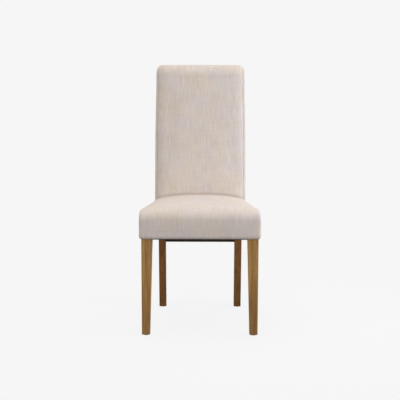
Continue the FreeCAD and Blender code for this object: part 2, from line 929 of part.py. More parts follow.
# Upholstery of the seat
def seat_upholstery(back_outer):
    outer = seat_form("seat_outer", as_dim(0.0))
    inner = seat_form("seat_inner", d.cover_thickness)
    shell = cut("seat_shell", cut("seat_outer_cut", outer, back_outer), inner)
    opening_front = d.hem_width - half_depth
    rear = half_depth
    hem = d.hem_width
    outline = [
        (-(seat_side(opening_front) - hem), opening_front),
        (seat_side(opening_front) - hem, opening_front),
        (seat_side(rear) - hem, rear),
        (-(seat_side(rear) - hem), rear),
    ]
    opening = plan_pad("hem_opening", outline, d.seat_base - REACH / 2, REACH / 2 + d.cover_thickness * 2)
    notches = [opening]
    gap = d.leg_clearance
    for label, side in SIDES.items():
        corner = side * d.leg_outer - gap if side < 0 else leg_inner - gap
        notches.append(block(f"leg_notch_{label}", corner, leg_front - gap, d.seat_base - REACH / 2,
                             d.leg_size + gap * 2, d.leg_size + gap * 2,
                             REACH / 2 + d.cover_thickness * 2))
    keep("seat_cover", cut("seat_cover_cut", shell, fuse_all("hem_tool", notches)))
    fill = cut("seat_fill", inner, back_outer)
    above = block("foam_region", -REACH * 2, -half_depth - REACH, deck, REACH * 4, d.overall_depth * 2, REACH)
    keep("seat_foam", common("seat_foam_common", fill, above))
    below = block("wadding_region", -REACH * 2, -half_depth - REACH, rail_base, REACH * 4,
                  d.overall_depth * 2, deck - rail_base)
    keep("seat_wadding", cut("seat_wadding_cut", common("seat_wadding_common", fill, below),
                             frame_envelope()))


def fuse_all(name, shapes):
    fused = doc.addObject("Part::MultiFuse", name)
    fused.Shapes = shapes
    return fused


def frame_envelope():
    """Everything inside the outer faces of the seat frame."""
    right = [
        (d.leg_outer, leg_front),
        (d.leg_outer, leg_rear),
        (side_rail_front, leg_rear),
        (side_rail_outer(post_front), post_front),
    ]
    left = [(-x, y) for x, y in reversed(right)]
    return plan_pad("frame_envelope", right + left, rail_base - REACH / 2, REACH * 2)


# Upholstery of the back
def back_upholstery(outer):
    inner = back_form("back_inner", d.cover_thickness, d.seat_base - d.back_lining_drop)
    shell = cut("back_shell", outer, inner)
    seam = half_back - d.seam_inset
    cover_regions(shell, seam)
    padding_regions(inner)


def cover_regions(shell, seam):
    low = d.seat_base - REACH
    tall = d.back_height
    for label, side in SIDES.items():
        x = seam if side > 0 else -seam - REACH
        region = block(f"{label}_cover_region", x, -REACH, low, REACH, d.overall_depth, tall)
        keep(f"{label}_side_cover", common(f"{label}_side_common", shell, region))
    hollow_y, hollow_z = roll_fillet_centre(d.roll_radius, roll_y, roll_z)
    middle = (d.post_rear + post_front) / 2
    rear_region = [
        (middle, low),
        (middle + REACH * 2, low),
        (middle + REACH * 2, hollow_z),
        (hollow_y, hollow_z),
        (hollow_y - REACH / 4, hollow_z + d.roll_fillet),
    ]
    rear = profile_pad("outside_back_region", rear_region, -seam, seam * 2)
    keep("outside_back_cover", common("outside_back_common", shell, rear))
    between = block("inside_back_region", -seam, -REACH, deck, seam * 2, d.overall_depth, tall)
    inside = cut("inside_back_cut", common("inside_back_common", shell, between), rear)
    keep("inside_back_cover", inside)


def padding_regions(inner):
    low = rail_base
    tall = d.back_height
    for label, side in SIDES.items():
        x = d.post_outer if side > 0 else -d.post_outer - REACH
        region = block(f"{label}_foam_region", x, -REACH, low, REACH, d.overall_depth, tall)
        keep(f"{label}_side_foam", common(f"{label}_foam_common", inner, region))
    width = d.post_outer * 2
    ahead_y = -cosine(d.back_rake)
    ahead_z = sine(d.back_rake)
    depth = d.front_padding - d.strap_space
    start = d.roll_radius - depth
    front_region = [
        (front_line(deck, depth), deck),
        (front_line(deck) - REACH / 2, deck),
        (roll_y + ahead_y * REACH, roll_z + ahead_z * REACH),
        (roll_y + ahead_y * start, roll_z + ahead_z * start),
    ]
    front = profile_pad("front_foam_region", front_region, -d.post_outer, width)
    keep("inside_back_foam", common("front_foam_common", inner, front))
    hollow_y, hollow_z = roll_fillet_centre(d.roll_radius, roll_y, roll_z)
    roll_region = [
        (roll_y, roll_z),
        (roll_y + ahead_y * REACH, roll_z + ahead_z * REACH),
        (roll_y - REACH, roll_z + REACH),
        (roll_y + REACH, roll_z + REACH),
        (roll_y + REACH, roll_z - REACH / 2),
        (hollow_y, hollow_z),
    ]
    roll = profile_pad("scroll_foam_region", roll_region, -d.post_outer, width)
    core = rod("scroll_core", "X", -d.post_outer, roll_y, roll_z, wood_radius, width)
    keep("scroll_foam", cut("scroll_foam_cut", common("scroll_foam_common", inner, roll), core))
    outside_back_board()


def outside_back_board():
    """Thin board on the rear faces of the posts that the outside back is pulled over."""
    top = roll_z - d.roll_radius - d.board_drop
    near = d.cover_thickness + d.board_gap
    far = d.rear_padding - d.board_gap
    kink = d.rear_kink_height
    outline = [
        (rear_face - far, rail_base),
        (rear_face - near, rail_base),
        (rear_line(kink, near), kink),
        (rear_line(top, near), top),
        (rear_line(top, far), top),
        (rear_line(kink, far), kink),
    ]
    reach = half_back - d.back_edge_round
    keep("outside_back_board", profile_pad("outside_back_board_body", outline, -reach, reach * 2))


def build():
    dowels = seat_dowels()
    upper_dowels = back_dowels()
    screws, bores = corner_screws()
    nails = glides()
    post_holes = group("post_holes", [dowels, upper_dowels, nails])
    leg_holes = group("leg_holes", [dowels, nails])
    rail_holes = group("rail_holes", [dowels, screws])
    block_holes = fuse_all("block_holes", [screws, bores])
    for label, side in SIDES.items():
        front_leg(f"front_leg_{label}", side, leg_holes)
        back_post(f"back_post_{label}", side, post_holes)
    seat_rails(rail_holes)
    for end in CORNERS:
        for label, side in SIDES.items():
            corner_block(end, label, side, block_holes)
    back_rails(upper_dowels)
    seat_webbing()
    back_webbing()
    platform_cloth()
    dust_cover()
    back_outer = back_form("back_outer", as_dim(0.0), d.seat_base)
    seat_upholstery(back_outer)
    back_upholstery(back_outer)
    doc.recompute()


def check():
    for thing in doc.Objects:
        if "Invalid" in thing.State or "Error" in thing.State:
            raise RuntimeError(f"{thing.Label} failed: {thing.State}")
    for thing in sub_parts:
        if thing.Shape.isNull() or not thing.Shape.isValid():
            raise RuntimeError(f"{thing.Label} has no valid shape")


def write():
    os.makedirs("parts", exist_ok=True)
    for thing in sub_parts:
        thing.Shape.exportStep(f"parts/{thing.Label}.step")


build()
check()
write()
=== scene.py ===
import math

import bpy
import numpy as np
from mathutils import Matrix, Vector


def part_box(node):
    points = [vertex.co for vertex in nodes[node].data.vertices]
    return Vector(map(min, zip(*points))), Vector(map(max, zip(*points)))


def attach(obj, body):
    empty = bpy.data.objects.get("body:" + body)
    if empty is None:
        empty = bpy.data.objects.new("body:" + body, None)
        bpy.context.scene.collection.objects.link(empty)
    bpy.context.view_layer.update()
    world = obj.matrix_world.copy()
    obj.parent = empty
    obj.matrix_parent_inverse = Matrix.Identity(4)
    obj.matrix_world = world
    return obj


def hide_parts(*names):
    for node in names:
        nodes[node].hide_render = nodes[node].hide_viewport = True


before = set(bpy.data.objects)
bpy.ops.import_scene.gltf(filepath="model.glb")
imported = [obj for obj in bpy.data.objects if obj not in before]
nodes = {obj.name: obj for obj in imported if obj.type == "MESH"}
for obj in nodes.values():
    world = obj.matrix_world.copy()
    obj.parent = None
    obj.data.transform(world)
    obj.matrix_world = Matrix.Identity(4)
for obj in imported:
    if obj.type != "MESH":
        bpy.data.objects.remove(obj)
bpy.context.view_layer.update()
scene = bpy.context.scene
print("chair frame loaded,", len(nodes), "nodes")


def toLinear(hexColour):    # each sRGB channel to linear light, with full alpha
    parts = np.array([int(hexColour[i:i + 2], 16) for i in (1, 3, 5)]) / 255
    linear = np.where(parts <= 0.04045, parts / 12.92, ((parts + 0.055) / 1.055) ** 2.4)
    return (*linear.tolist(), 1.0)


# One shader node with its settings, and its values or links; gives the socket that is read from it
def addNode(tree, kind, inputs=None, output=0, **settings):
    node = tree.nodes.new("ShaderNode" + kind)
    for name, value in settings.items():
        setattr(node, name, value)
    for name, value in (inputs or {}).items():
        if isinstance(value, bpy.types.NodeSocket):
            tree.links.new(value, node.inputs[name])
        else:
            node.inputs[name].default_value = value
    return node.outputs[output] if node.outputs else None


# Nodes that the materials share
def mathNode(tree, operation, *values, **settings):
    return addNode(tree, "Math", dict(enumerate(values)), operation=operation, **settings)


def rangeNode(tree, value, fromMin, fromMax, toMin=0.0, toMax=1.0, **settings):
    limits = {"From Min": fromMin, "From Max": fromMax, "To Min": toMin, "To Max": toMax}
    return addNode(tree, "MapRange", {"Value": value, **limits}, **settings)


def mixNode(tree, share, first, second, **settings):    # each colour is a socket or a hex colour
    first, second = [toLinear(colour) if isinstance(colour, str) else colour for colour in (first, second)]
    return addNode(tree, "Mix", {0: share, 6: first, 7: second}, 2, data_type="RGBA", **settings)


def noiseNode(tree, place, scale, detail, **inputs):
    return addNode(tree, "TexNoise", {"Vector": place, "Scale": scale, "Detail": detail, **inputs}, "Fac")


def stretchNode(tree, place, scale, start=(0, 0, 0)):
    return addNode(tree, "Mapping", {"Vector": place, "Scale": scale, "Location": start})


def bumpNode(tree, height, distance, strength=1.0):
    return addNode(tree, "Bump", {"Height": height, "Distance": distance, "Strength": strength})


def newMaterial(name):
    material = bpy.data.materials.new(name)
    material.use_nodes = True
    material.node_tree.nodes.clear()
    return material, material.node_tree


def addSurface(tree, inputs):
    shader = addNode(tree, "BsdfPrincipled", inputs)
    addNode(tree, "OutputMaterial", {"Surface": shader})


def ease(share):    # an even share made to start and end gently
    return share * share * (3 - 2 * share)


def rampUp(value, start, length):    # from 0 at the start to 1 a length further on
    return np.clip((value - start) / length, 0, 1)


def addObject(name, data):
    added = bpy.data.objects.new(name, data)
    scene.collection.objects.link(added)
    return added


def gridIndex(points):    # the number of each point of a grid
    return np.arange(points[..., 0].size).reshape(points.shape[:2])


# Quads between neighbouring rows and columns of an index grid
def gridQuads(index):
    return np.stack([index[:-1, :-1], index[:-1, 1:], index[1:, 1:], index[1:, :-1]], -1).reshape(-1, 4)


# A mesh from points and groups of (faces, flat cloth place of each point), each group with its own flat places
def newPiece(name, points, groups, material):
    used, inverse = np.unique(np.concatenate([faces.ravel() for faces, flat in groups]), return_inverse=True)
    corners = []
    flatPlaces = []
    start = 0
    for faces, flat in groups:
        corners += inverse[start:start + faces.size].reshape(faces.shape).tolist()
        flatPlaces.append(flat[faces.ravel()])
        start += faces.size
    mesh = bpy.data.meshes.new(name)
    mesh.from_pydata(points[used].tolist(), [], corners)
    layer = mesh.uv_layers.new(name="cloth")
    layer.uv.foreach_set("vector", np.concatenate(flatPlaces).astype(np.float32).ravel())
    mesh.shade_smooth()
    mesh.materials.append(material)
    return addObject(name, mesh)


def addThickness(piece, thickness, offset):    # offset -1 is inwards, 1 outwards, 0 half each way
    wall = piece.modifiers.new("clothThickness", "SOLIDIFY")
    wall.thickness, wall.offset = thickness, offset


# A side profile is a path of (y, z) points, walked with the outside on the left
pathStep = 0.0008


def lineRun(start, end):
    count = max(2, int(math.dist(start, end) / pathStep))
    return np.linspace(start, end, count)


def arcRun(centre, radius, first, last):
    count = max(8, int(abs(last - first) * radius / pathStep))
    turn = np.linspace(first, last, count)
    return np.stack([centre[0] + radius * np.cos(turn), centre[1] + radius * np.sin(turn)], 1)


# Runs joined end to end; the outward normal is the direction of travel turned left
def joinRuns(runs):
    points = np.concatenate([run[:-1] for run in runs] + [runs[-1][-1:]])
    steps = np.linalg.norm(np.diff(points, axis=0), axis=1)
    along = np.concatenate([[0.0], np.cumsum(steps)])
    travel = np.gradient(points, along, axis=0)
    travel /= np.linalg.norm(travel, axis=1, keepdims=True)
    runEnds = along[np.cumsum([len(run) - 1 for run in runs])]
    return {"points": points, "normals": np.stack([-travel[:, 1], travel[:, 0]], 1), "along": along, "ends": runEnds}


def walkPath(path, places):    # point and unit normal at each place, interpolated
    point = np.stack([np.interp(places, path["along"], column) for column in path["points"].T], 1)
    normal = np.stack([np.interp(places, path["along"], column) for column in path["normals"].T], 1)
    return point, normal / np.linalg.norm(normal, axis=1, keepdims=True)


# Places from a list of marks, with a count of steps between each two
def spread(marks, counts):
    runs = [np.linspace(a, b, n, endpoint=False) for a, b, n in zip(marks, marks[1:], counts)]
    return np.concatenate(runs + [[marks[-1]]])


# Columns of a face with round ends, left to right: places on the flat from -1 to 1, and angles round the ends
def acrossColumns(flatCount, turn):
    flat = np.linspace(-1, 1, flatCount * 2 + 1)
    flats = np.concatenate([-np.ones(len(turn)), flat, np.ones(len(turn))])
    turns = np.concatenate([-turn[::-1], np.zeros(len(flat)), turn])
    return flats, turns


# Normals of a closed set of faces: the sum of the faces' normals at each point
def pointNormals(points, faceGroups):
    total = np.zeros_like(points)
    for faces in faceGroups:
        normal = np.cross(points[faces[:, 2]] - points[faces[:, 0]], points[faces[:, -1]] - points[faces[:, 1]])
        for corner in range(faces.shape[1]):
            np.add.at(total, faces[:, corner], normal)
    return total / np.maximum(np.linalg.norm(total, axis=1, keepdims=True), 1e-12)


# Each round gives a point the mean of the faces round it
def evenOut(values, faceGroups, rounds):
    for number in range(rounds):
        total, count = np.zeros_like(values), np.zeros_like(values)
        for faces in faceGroups:
            mean = values[faces].mean(1)
            for corner in faces.T:
                total += np.bincount(corner, mean, len(values))
                count += np.bincount(corner, minlength=len(values))
        values = total / count
    return values


# Padding: pressure pushes the cloth out between its pinned seams; a point moves along its own normal by the evened
# push times the share given for its place, out by the cap at most and in by a fifth of that
padCloth = {"quality": 4, "mass": 0.3, "tension_stiffness": 40.0, "compression_stiffness": 40.0,
            "use_pressure": True, "uniform_pressure_force": 1.0, "vertex_group_mass": "seams"}
padFrames = 20


def puffUp(name, points, faceGroups, pinned, give, look):
    mesh = bpy.data.meshes.new(name)
    mesh.from_pydata(points.tolist(), [], sum([faces.tolist() for faces in faceGroups], []))
    pad = addObject(name, mesh)
    pad.vertex_groups.new(name="seams").add(np.flatnonzero(pinned).tolist(), 1.0, "REPLACE")
    cloth = pad.modifiers.new("cloth", "CLOTH")
    for setting, value in padCloth.items():
        setattr(cloth.settings, setting, value)
    cloth.settings.effector_weights.gravity = 0
    cloth.collision_settings.use_collision = False
    cloth.point_cache.frame_start = 1
    cloth.point_cache.frame_end = padFrames
    for number in range(1, padFrames + 1):
        scene.frame_set(number)
    moved = np.empty(points.size)
    shaped = pad.evaluated_get(bpy.context.evaluated_depsgraph_get())
    shaped.data.vertices.foreach_get("co", moved)
    normals = pointNormals(points, faceGroups)
    push = ((moved.reshape(-1, 3) - points) * normals).sum(1)
    cap = np.where(push > 0, look["cap"], look["cap"] / 5)
    push = evenOut(cap * np.tanh(push / cap), faceGroups, look["evenings"]) * give
    bpy.data.objects.remove(pad)
    scene.frame_set(1)
    print(name, "moved by", round(float(push.min()) * 1000, 1), "to", round(float(push.max()) * 1000, 1), "mm")
    return points + normals * push[:, None]


# Plain weaves of spun yarn: flat light shows fine ribs and long slubs along the warp, and a soft pale bloom
# at glancing angles; the coarser jute and hessian show open, hairy yarn
clothLooks = {
    "linenPlainWeave": {
        "pale": "#E6DBD4",
        "deep": "#BEB2AB",
        "warm": "#FFFDF5",       # the yarn's own slight change of hue from place to place
        "cool": "#FBFCFF",
        "thread": 0.0016,        # real yarn is about 0.8 mm apart, drawn coarser to show
        "slubWidth": 0.0038,
        "slubLength": 0.065,
        "ribShare": 0.16,
        "relief": 0.0003,
        "roughness": 0.92,
        "sheen": 0.12,
    },
    "juteWebbing": {"pale": "#A58B62", "deep": "#6A5334", "warm": "#FFF6E6", "cool": "#F4F6FA", "thread": 0.0025,
                    "slubWidth": 0.004, "slubLength": 0.04, "ribShare": 0.5, "relief": 0.0006, "roughness": 0.95,
                    "sheen": 0.05},
    "hessianPlainWeave": {"pale": "#B9A078", "deep": "#826B45", "warm": "#FFF6E6", "cool": "#F4F6FA", "thread": 0.002,
                          "slubWidth": 0.003, "slubLength": 0.04, "ribShare": 0.6, "relief": 0.0005,
                          "roughness": 0.95, "sheen": 0.05},
}
weaveLook = {
    "weft": 0.4,             # slubs of the weft, against those of the warp
    "cloud": 0.35,           # broad, soft change of tone
    "cloudScale": 14.0,
    "tones": (0.36, 1.39),   # sums at which the yarn is at its deepest and its palest
    "hueScale": 9.0,
    "hues": (0.35, 0.65),
    "ribHeight": 0.35,
    "bump": 0.8,
    "specular": 0.25,
    "sheenRoughness": 0.5,
}


def clothMaterial(name):
    material, tree = newMaterial(name)
    look = clothLooks[name]
    place = addNode(tree, "TexCoord", output="UV")
    waveScale = 2 * math.pi / 20 / (2 * look["thread"])    # at scale 1 the wave node has 20 radians to the metre
    swings = []
    for direction in "XY":
        wave = addNode(tree, "TexWave", {"Vector": place, "Scale": waveScale}, "Fac", bands_direction=direction)
        swings.append(mathNode(tree, "MULTIPLY_ADD", wave, 2.0, -1.0))
    crossing = mathNode(tree, "MULTIPLY", *swings)
    wide, long = 1 / look["slubWidth"], 1 / look["slubLength"]
    warp = noiseNode(tree, stretchNode(tree, place, (wide, long, 1)), 1.0, 3.0)
    weft = noiseNode(tree, stretchNode(tree, place, (long, wide, 1), (7, 3, 0)), 1.0, 3.0)
    yarn = mathNode(tree, "MULTIPLY_ADD", weft, weaveLook["weft"], warp)
    cloud = noiseNode(tree, place, weaveLook["cloudScale"], 2.0)
    tone = mathNode(tree, "MULTIPLY_ADD", cloud, weaveLook["cloud"], yarn)
    ribbed = mathNode(tree, "MULTIPLY_ADD", crossing, look["ribShare"], tone)
    colour = mixNode(tree, rangeNode(tree, ribbed, *weaveLook["tones"]), look["deep"], look["pale"])
    patch = noiseNode(tree, place, weaveLook["hueScale"], 3.0)
    hue = mixNode(tree, rangeNode(tree, patch, *weaveLook["hues"]), look["warm"], look["cool"])
    height = mathNode(tree, "MULTIPLY_ADD", crossing, weaveLook["ribHeight"], yarn)
    addSurface(tree, {
        "Base Color": mixNode(tree, 1.0, colour, hue, blend_type="MULTIPLY"),
        "Normal": bumpNode(tree, height, look["relief"], weaveLook["bump"]),
        "Roughness": look["roughness"],
        "IOR": 1.5,
        "Specular IOR Level": weaveLook["specular"],
        "Sheen Weight": look["sheen"],
        "Sheen Roughness": weaveLook["sheenRoughness"],
    })
    return material


# Woods: planed along the grain, so streaks and pores run with the piece and growth bands cross its faces; legs are
# darkened towards the floor as painted shade, and their edges are drawn paler as a painted highlight
woodLooks = {
    # foot is the share of painted shade at the floor, edge the share of painted highlight on the edges
    "oakOiled": {"pale": "#B98E51", "deep": "#825927", "pore": "#5A3612", "along": 2, "band": 0.011,
                 "streak": 0.0035, "roughness": 0.5, "specular": 0.35, "foot": 0.34, "edge": 0.35},
    # the posts' oak: a darker stain, and darker still as painted shade from under the seat
    "oakOiledDarkStainAndShade": {"pale": "#96642E", "deep": "#663D14", "pore": "#44260A", "along": 2, "band": 0.011,
                     "streak": 0.0035, "roughness": 0.5, "specular": 0.3, "foot": 0.3, "edge": 0.3},
    "hardwoodDarkStained": {"pale": "#3A2A16", "deep": "#1E1408", "pore": "#120C05", "along": 0, "band": 0.012,
                            "streak": 0.0035, "roughness": 0.6, "specular": 0.2, "foot": 0.0, "edge": 0.1},
    "beechPlaned": {"pale": "#D2AE83", "deep": "#B58C60", "pore": "#94703F", "along": 0, "band": 0.014,
                    "streak": 0.003, "roughness": 0.6, "specular": 0.4, "foot": 0.0, "edge": 0.0},
    "beechDowel": {"pale": "#DDBE96", "deep": "#C09A6C", "pore": "#9C784C", "along": 0, "band": 0.006,
                   "streak": 0.0015, "roughness": 0.55, "specular": 0.4, "foot": 0.0, "edge": 0.0},
}
woodLooks["beechPlanedLengthwise"] = {**woodLooks["beechPlaned"], "along": 1}
grainLook = {
    "streakLength": 0.09,
    "bandLength": 0.28,
    "pore": (0.0011, 0.016),     # width and length, drawn 3 times as wide
    "streakShare": 0.8,
    "tones": (0.62, 1.18),       # sums at which the wood is at its deepest and its palest
    "pores": (0.6, 0.72),
    "poreTone": 0.55,
    "footShadeHeight": 0.24,
    "edgeRadius": 0.0025,
    "edges": (0.8, 0.98),        # how alike the rounded and the true normal are at an edge and off it
    "relief": 0.0002,
    "bump": 0.5,
    "gloss": (-0.08, 0.12),      # change of roughness over the streaks
}


def woodMaterial(name):
    material, tree = newMaterial(name)
    look = woodLooks[name]
    place = addNode(tree, "TexCoord", output="Object")

    def alongGrain(width, length):    # a pattern this wide, and this long along the grain
        scale = [1 / width] * 3
        scale[look["along"]] = 1 / length
        return stretchNode(tree, place, scale)

    streak = noiseNode(tree, alongGrain(look["streak"], grainLook["streakLength"]), 1.0, 4.0, Roughness=0.6)
    band = noiseNode(tree, alongGrain(look["band"], grainLook["bandLength"]), 1.0, 2.0, Distortion=0.6)
    pore = noiseNode(tree, alongGrain(*grainLook["pore"]), 1.0, 2.0)
    mixed = mathNode(tree, "MULTIPLY_ADD", streak, grainLook["streakShare"], band)
    grain = rangeNode(tree, mixed, *grainLook["tones"])
    opened = rangeNode(tree, pore, *grainLook["pores"], 0.0, grainLook["poreTone"])
    height = addNode(tree, "SeparateXYZ", {0: place}, "Z")
    # legs darkened in colour towards the floor: painted shade for the light that falls off low down
    paintedFootShade = rangeNode(tree, height, 0.0, grainLook["footShadeHeight"], look["foot"], 0.0)
    # edges drawn paler by the wood's edge share: a painted highlight where light catches the rounded edges
    rounded = addNode(tree, "Bevel", {"Radius": grainLook["edgeRadius"]}, samples=4)
    straight = addNode(tree, "NewGeometry", output="Normal")
    alike = addNode(tree, "VectorMath", {0: rounded, 1: straight}, "Value", operation="DOT_PRODUCT")
    paintedEdgeHighlight = rangeNode(tree, alike, *grainLook["edges"], look["edge"], 0.0)
    colour = mixNode(tree, grain, look["deep"], look["pale"])
    for share, over in ((opened, "pore"), (paintedFootShade, "pore"), (paintedEdgeHighlight, "pale")):
        colour = mixNode(tree, share, colour, look[over])
    dip = mathNode(tree, "SUBTRACT", grain, opened)
    gloss = [look["roughness"] + change for change in grainLook["gloss"]]
    addSurface(tree, {
        "Base Color": colour,
        "Normal": bumpNode(tree, dip, grainLook["relief"], grainLook["bump"]),
        "Roughness": rangeNode(tree, streak, 0.0, 1.0, *gloss),
        "IOR": 1.5,
        "Specular IOR Level": look["specular"],
    })
    return material


# Felted, pressed and moulded stuff: a speckle of two tones and a matching relief
speckLooks = {
    "polypropyleneNonWoven": {"pale": "#1E1E1F", "deep": "#0D0D0E", "size": 0.0024, "relief": 0.0002,
                              "roughness": 0.85},
    "hardboardSmooth": {"pale": "#9A7C58", "deep": "#7A5E40", "size": 0.0015, "relief": 0.0001, "roughness": 0.7},
    "nylonMoulded": {"pale": "#332D28", "deep": "#241F1B", "size": 0.0008, "relief": 0.00005, "roughness": 0.45},
}


def speckMaterial(name):
    material, tree = newMaterial(name)
    look = speckLooks[name]
    place = addNode(tree, "TexCoord", output="Object")
    speck = noiseNode(tree, place, 1 / look["size"], 2.0)
    addSurface(tree, {
        "Base Color": mixNode(tree, rangeNode(tree, speck, 0.35, 0.65), look["deep"], look["pale"]),
        "Normal": bumpNode(tree, speck, look["relief"]),
        "Roughness": look["roughness"],
    })
    return material


# Zinc plated steel: a bright, slightly blotched metal skin
steelLook = {"pale": "#B9BABB", "deep": "#8E8F90", "blotch": 0.002, "roughness": 0.35}


def steelMaterial():
    material, tree = newMaterial("steelZincPlated")
    place = addNode(tree, "TexCoord", output="Object")
    blotch = noiseNode(tree, place, 1 / steelLook["blotch"], 3.0)
    addSurface(tree, {
        "Base Color": mixNode(tree, blotch, steelLook["deep"], steelLook["pale"]),
        "Metallic": 1.0,
        "Roughness": steelLook["roughness"],
    })
    return material


cloths = {name: clothMaterial(name) for name in clothLooks}
linen = cloths["linenPlainWeave"]
woods = {name: woodMaterial(name) for name in woodLooks}
specks = {name: speckMaterial(name) for name in speckLooks}
steel = steelMaterial()
print("materials made")

# The back is a profile that rakes up, rolls over and comes down, with soft round ends
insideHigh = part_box("inside_back_cover")[1]
sideLow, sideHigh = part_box("right_side_cover")
backShape = {
    "rake": math.radians(9.0),
    "rearRake": math.radians(6.5),
    "roll": 0.050,            # radius of the scroll
    "hollow": 0.010,          # radius of the hollow under it
    "rearFace": 0.206,
    "kinkHeight": 0.475,      # where the rear face starts to lean
    "kink": 0.600,
    "edge": 0.021,            # depth of the round ends, and how much more of it there is over the scroll
    "topEdge": 0.006,
    "frontEdge": 0.046,       # their width at the front and at the rear
    "rearEdge": 0.020,
    "seamInset": 0.008,
    "crown": 0.005,
    "tip": math.radians(-25),     # where the border's two edges meet on the scroll
    "shrink": 0.0005,         # the cloth starts this much smaller and is padded out
    "rollOut": 0.0028,        # the padding over the scroll is this much fuller
    "wide": 0.0022,           # each side stands out by this much, and comes in by the next on the way up
    "narrow": 0.0032,
    "narrowFrom": 0.72,
    "hiddenTo": 0.508,        # below this the seat stands against the front
    "creaseAt": 0.505,        # height of the crease with the seat, and its fall to the sides per cubic metre
    "creaseFall": 3.0,
    "creaseDepth": 0.0038,    # how far the back is pulled in there, and over what height
    "creaseWidth": 0.007,
    "creaseRows": (0.47, 0.54),   # between these heights the rows are closer
    "cloth": 0.0016,
    "hem": 0.003,
    "postSide": 0.1795,       # where the turned in edge stops, beside and behind the posts
    "postRear": 0.2035,
}
backPuff = {"cap": 0.003, "evenings": 14}
backHold = {
    "footPin": 0.012,         # cloth held at the foot
    "hiddenDepth": 0.03,      # and as far behind the front where the seat hides it
    "hiddenFade": 0.03,       # heights over which the padding comes in, above the seat and above the foot
    "footFrom": 0.01,
    "footFade": 0.04,
    "front": 0.3,             # what faces forward more than this counts as the front
    "tight": 0.35,            # share of the push that the rear and the borders give
    "scroll": 0.8,            # share that the scroll holds back, and the height over which that comes in
    "scrollFade": 0.08,
}
backSeam = {"depth": 0.0016, "width": 0.0022, "pucker": 0.0003, "puckerStep": 0.011, "puckerWidth": 3}
backRows = {"face": (20, 24, 48), "neck": 12, "scroll": 26}
backColumns = {"face": 30, "toSeam": 4, "toSide": 6, "border": 9}

rake, rearRake = backShape["rake"], backShape["rearRake"]
rollRadius = backShape["roll"]
rollY, rollZ = insideHigh.y - rollRadius, insideHigh.z - rollRadius
backBase = sideLow.z
halfBack = sideHigh.x
edge, frontEdge = backShape["edge"], backShape["frontEdge"]
frontNormal = np.array([0, -math.cos(rake), math.sin(rake)])


def frontLine(height):    # y of the raked front of the back
    return rollY - rollRadius / math.cos(rake) + (height - rollZ) * math.tan(rake)


def rearLine(height):    # y of the raked rear
    return backShape["rearFace"] + (height - backShape["kinkHeight"]) * math.tan(rearRake)


# Front line, scroll arc, hollow arc tangent to the scroll and the rear line, rear line, slow bend, rear foot
def backPath():
    hollow, kink = backShape["hollow"], backShape["kink"]
    ahead = hollow + (rearLine(rollZ) - rollY) * math.cos(rearRake)
    down = math.sqrt((rollRadius + hollow) ** 2 - ahead ** 2)
    hollowY = rollY + ahead * math.cos(rearRake) - down * math.sin(rearRake)
    hollowZ = rollZ - ahead * math.sin(rearRake) - down * math.cos(rearRake)
    under = math.atan2(hollowZ - rollZ, hollowY - rollY)
    kinkY = backShape["rearFace"] + kink
    kinkZ = backShape["kinkHeight"] - kink * math.tan(rearRake / 2)
    front = lineRun((frontLine(backBase), backBase),
                    (rollY - rollRadius * math.cos(rake), rollZ + rollRadius * math.sin(rake)))
    scroll = arcRun((rollY, rollZ), rollRadius, math.pi - rake, under)
    bay = arcRun((hollowY, hollowZ), hollow, under + math.pi, math.pi - rearRake)
    bend = arcRun((kinkY, kinkZ), kink, math.pi - rearRake, math.pi)
    return joinRuns([front, scroll, bay, lineRun(bay[-1], bend[0]), bend,
                     lineRun(bend[-1], (backShape["rearFace"], backBase))])


# x is the place on the flat plus the elliptic end, which is wider at the front, and is eased in on the way up; depth
# is the crown's recess, fading over the scroll, plus the end's, which is deeper over the scroll
def backSurface(point, normal, flats, turns, shrink):
    facing = (1 + normal[:, None] @ frontNormal[1:]) / 2
    width = backShape["rearEdge"] + (frontEdge - backShape["rearEdge"]) * facing ** 3
    deep = edge + backShape["topEdge"] * np.clip(normal[:, 1:], 0, 1) * (point[:, 1:] > rollZ)
    x = flats * (halfBack - width) + width * np.sin(turns)
    recess = backShape["crown"] * (x / halfBack) ** 4
    depth = recess * facing ** 2 + deep * (1 - np.cos(turns)) + shrink[:, None]
    y = point[:, :1] - normal[:, :1] * depth
    z = point[:, 1:] - normal[:, 1:] * depth
    share = rampUp(z, backShape["narrowFrom"], rollZ - backShape["narrowFrom"])
    x = x * (1 + (backShape["wide"] - backShape["narrow"] * ease(share)) / halfBack)
    return np.stack([x, y, z], -1)


# Rows go up the front, over the scroll to the tip and down the rear, at matching heights below the neck
backLine = backPath()
frontEnd, scrollEnd, bayEnd = backLine["ends"][:3]
backLength = backLine["along"][-1]
neckRise = backLine["points"][np.searchsorted(backLine["along"], bayEnd), 1] - backBase
neckPlace = neckRise / math.cos(rake)
tipPlace = frontEnd + rollRadius * (math.pi - rake - backShape["tip"])
creaseShares = [(height - backBase) / neckRise for height in backShape["creaseRows"]]
rise = spread([0, *creaseShares, 1], backRows["face"])[:-1]
upperCounts = [backRows["neck"], backRows["scroll"]]
frontPlaces = np.concatenate([rise * neckPlace, spread([neckPlace, frontEnd, tipPlace], upperCounts)])
rearPlaces = np.concatenate([backLength + rise * (bayEnd - backLength),
                             spread([bayEnd, scrollEnd, tipPlace], upperCounts)])
backPlaces = np.concatenate([frontPlaces, rearPlaces[-2::-1]])
seamTurn = math.asin((frontEdge - backShape["seamInset"]) / frontEdge)
endTurn = spread([0, seamTurn, math.pi / 2], [backColumns["toSeam"], backColumns["toSide"]])[1:]
backPoint, backNormal = walkPath(backLine, backPlaces)
shrunk = backShape["shrink"] * rampUp(backPoint[:, 1], backShape["hiddenTo"], backHold["hiddenFade"])
shrunk -= backShape["rollOut"] * np.clip(backNormal[:, 1], 0, 1) * (backPoint[:, 1] > rollZ)
ring = backSurface(backPoint, backNormal, *acrossColumns(backColumns["face"], endTurn), shrunk)
rowCount, columnCount = ring.shape[:2]
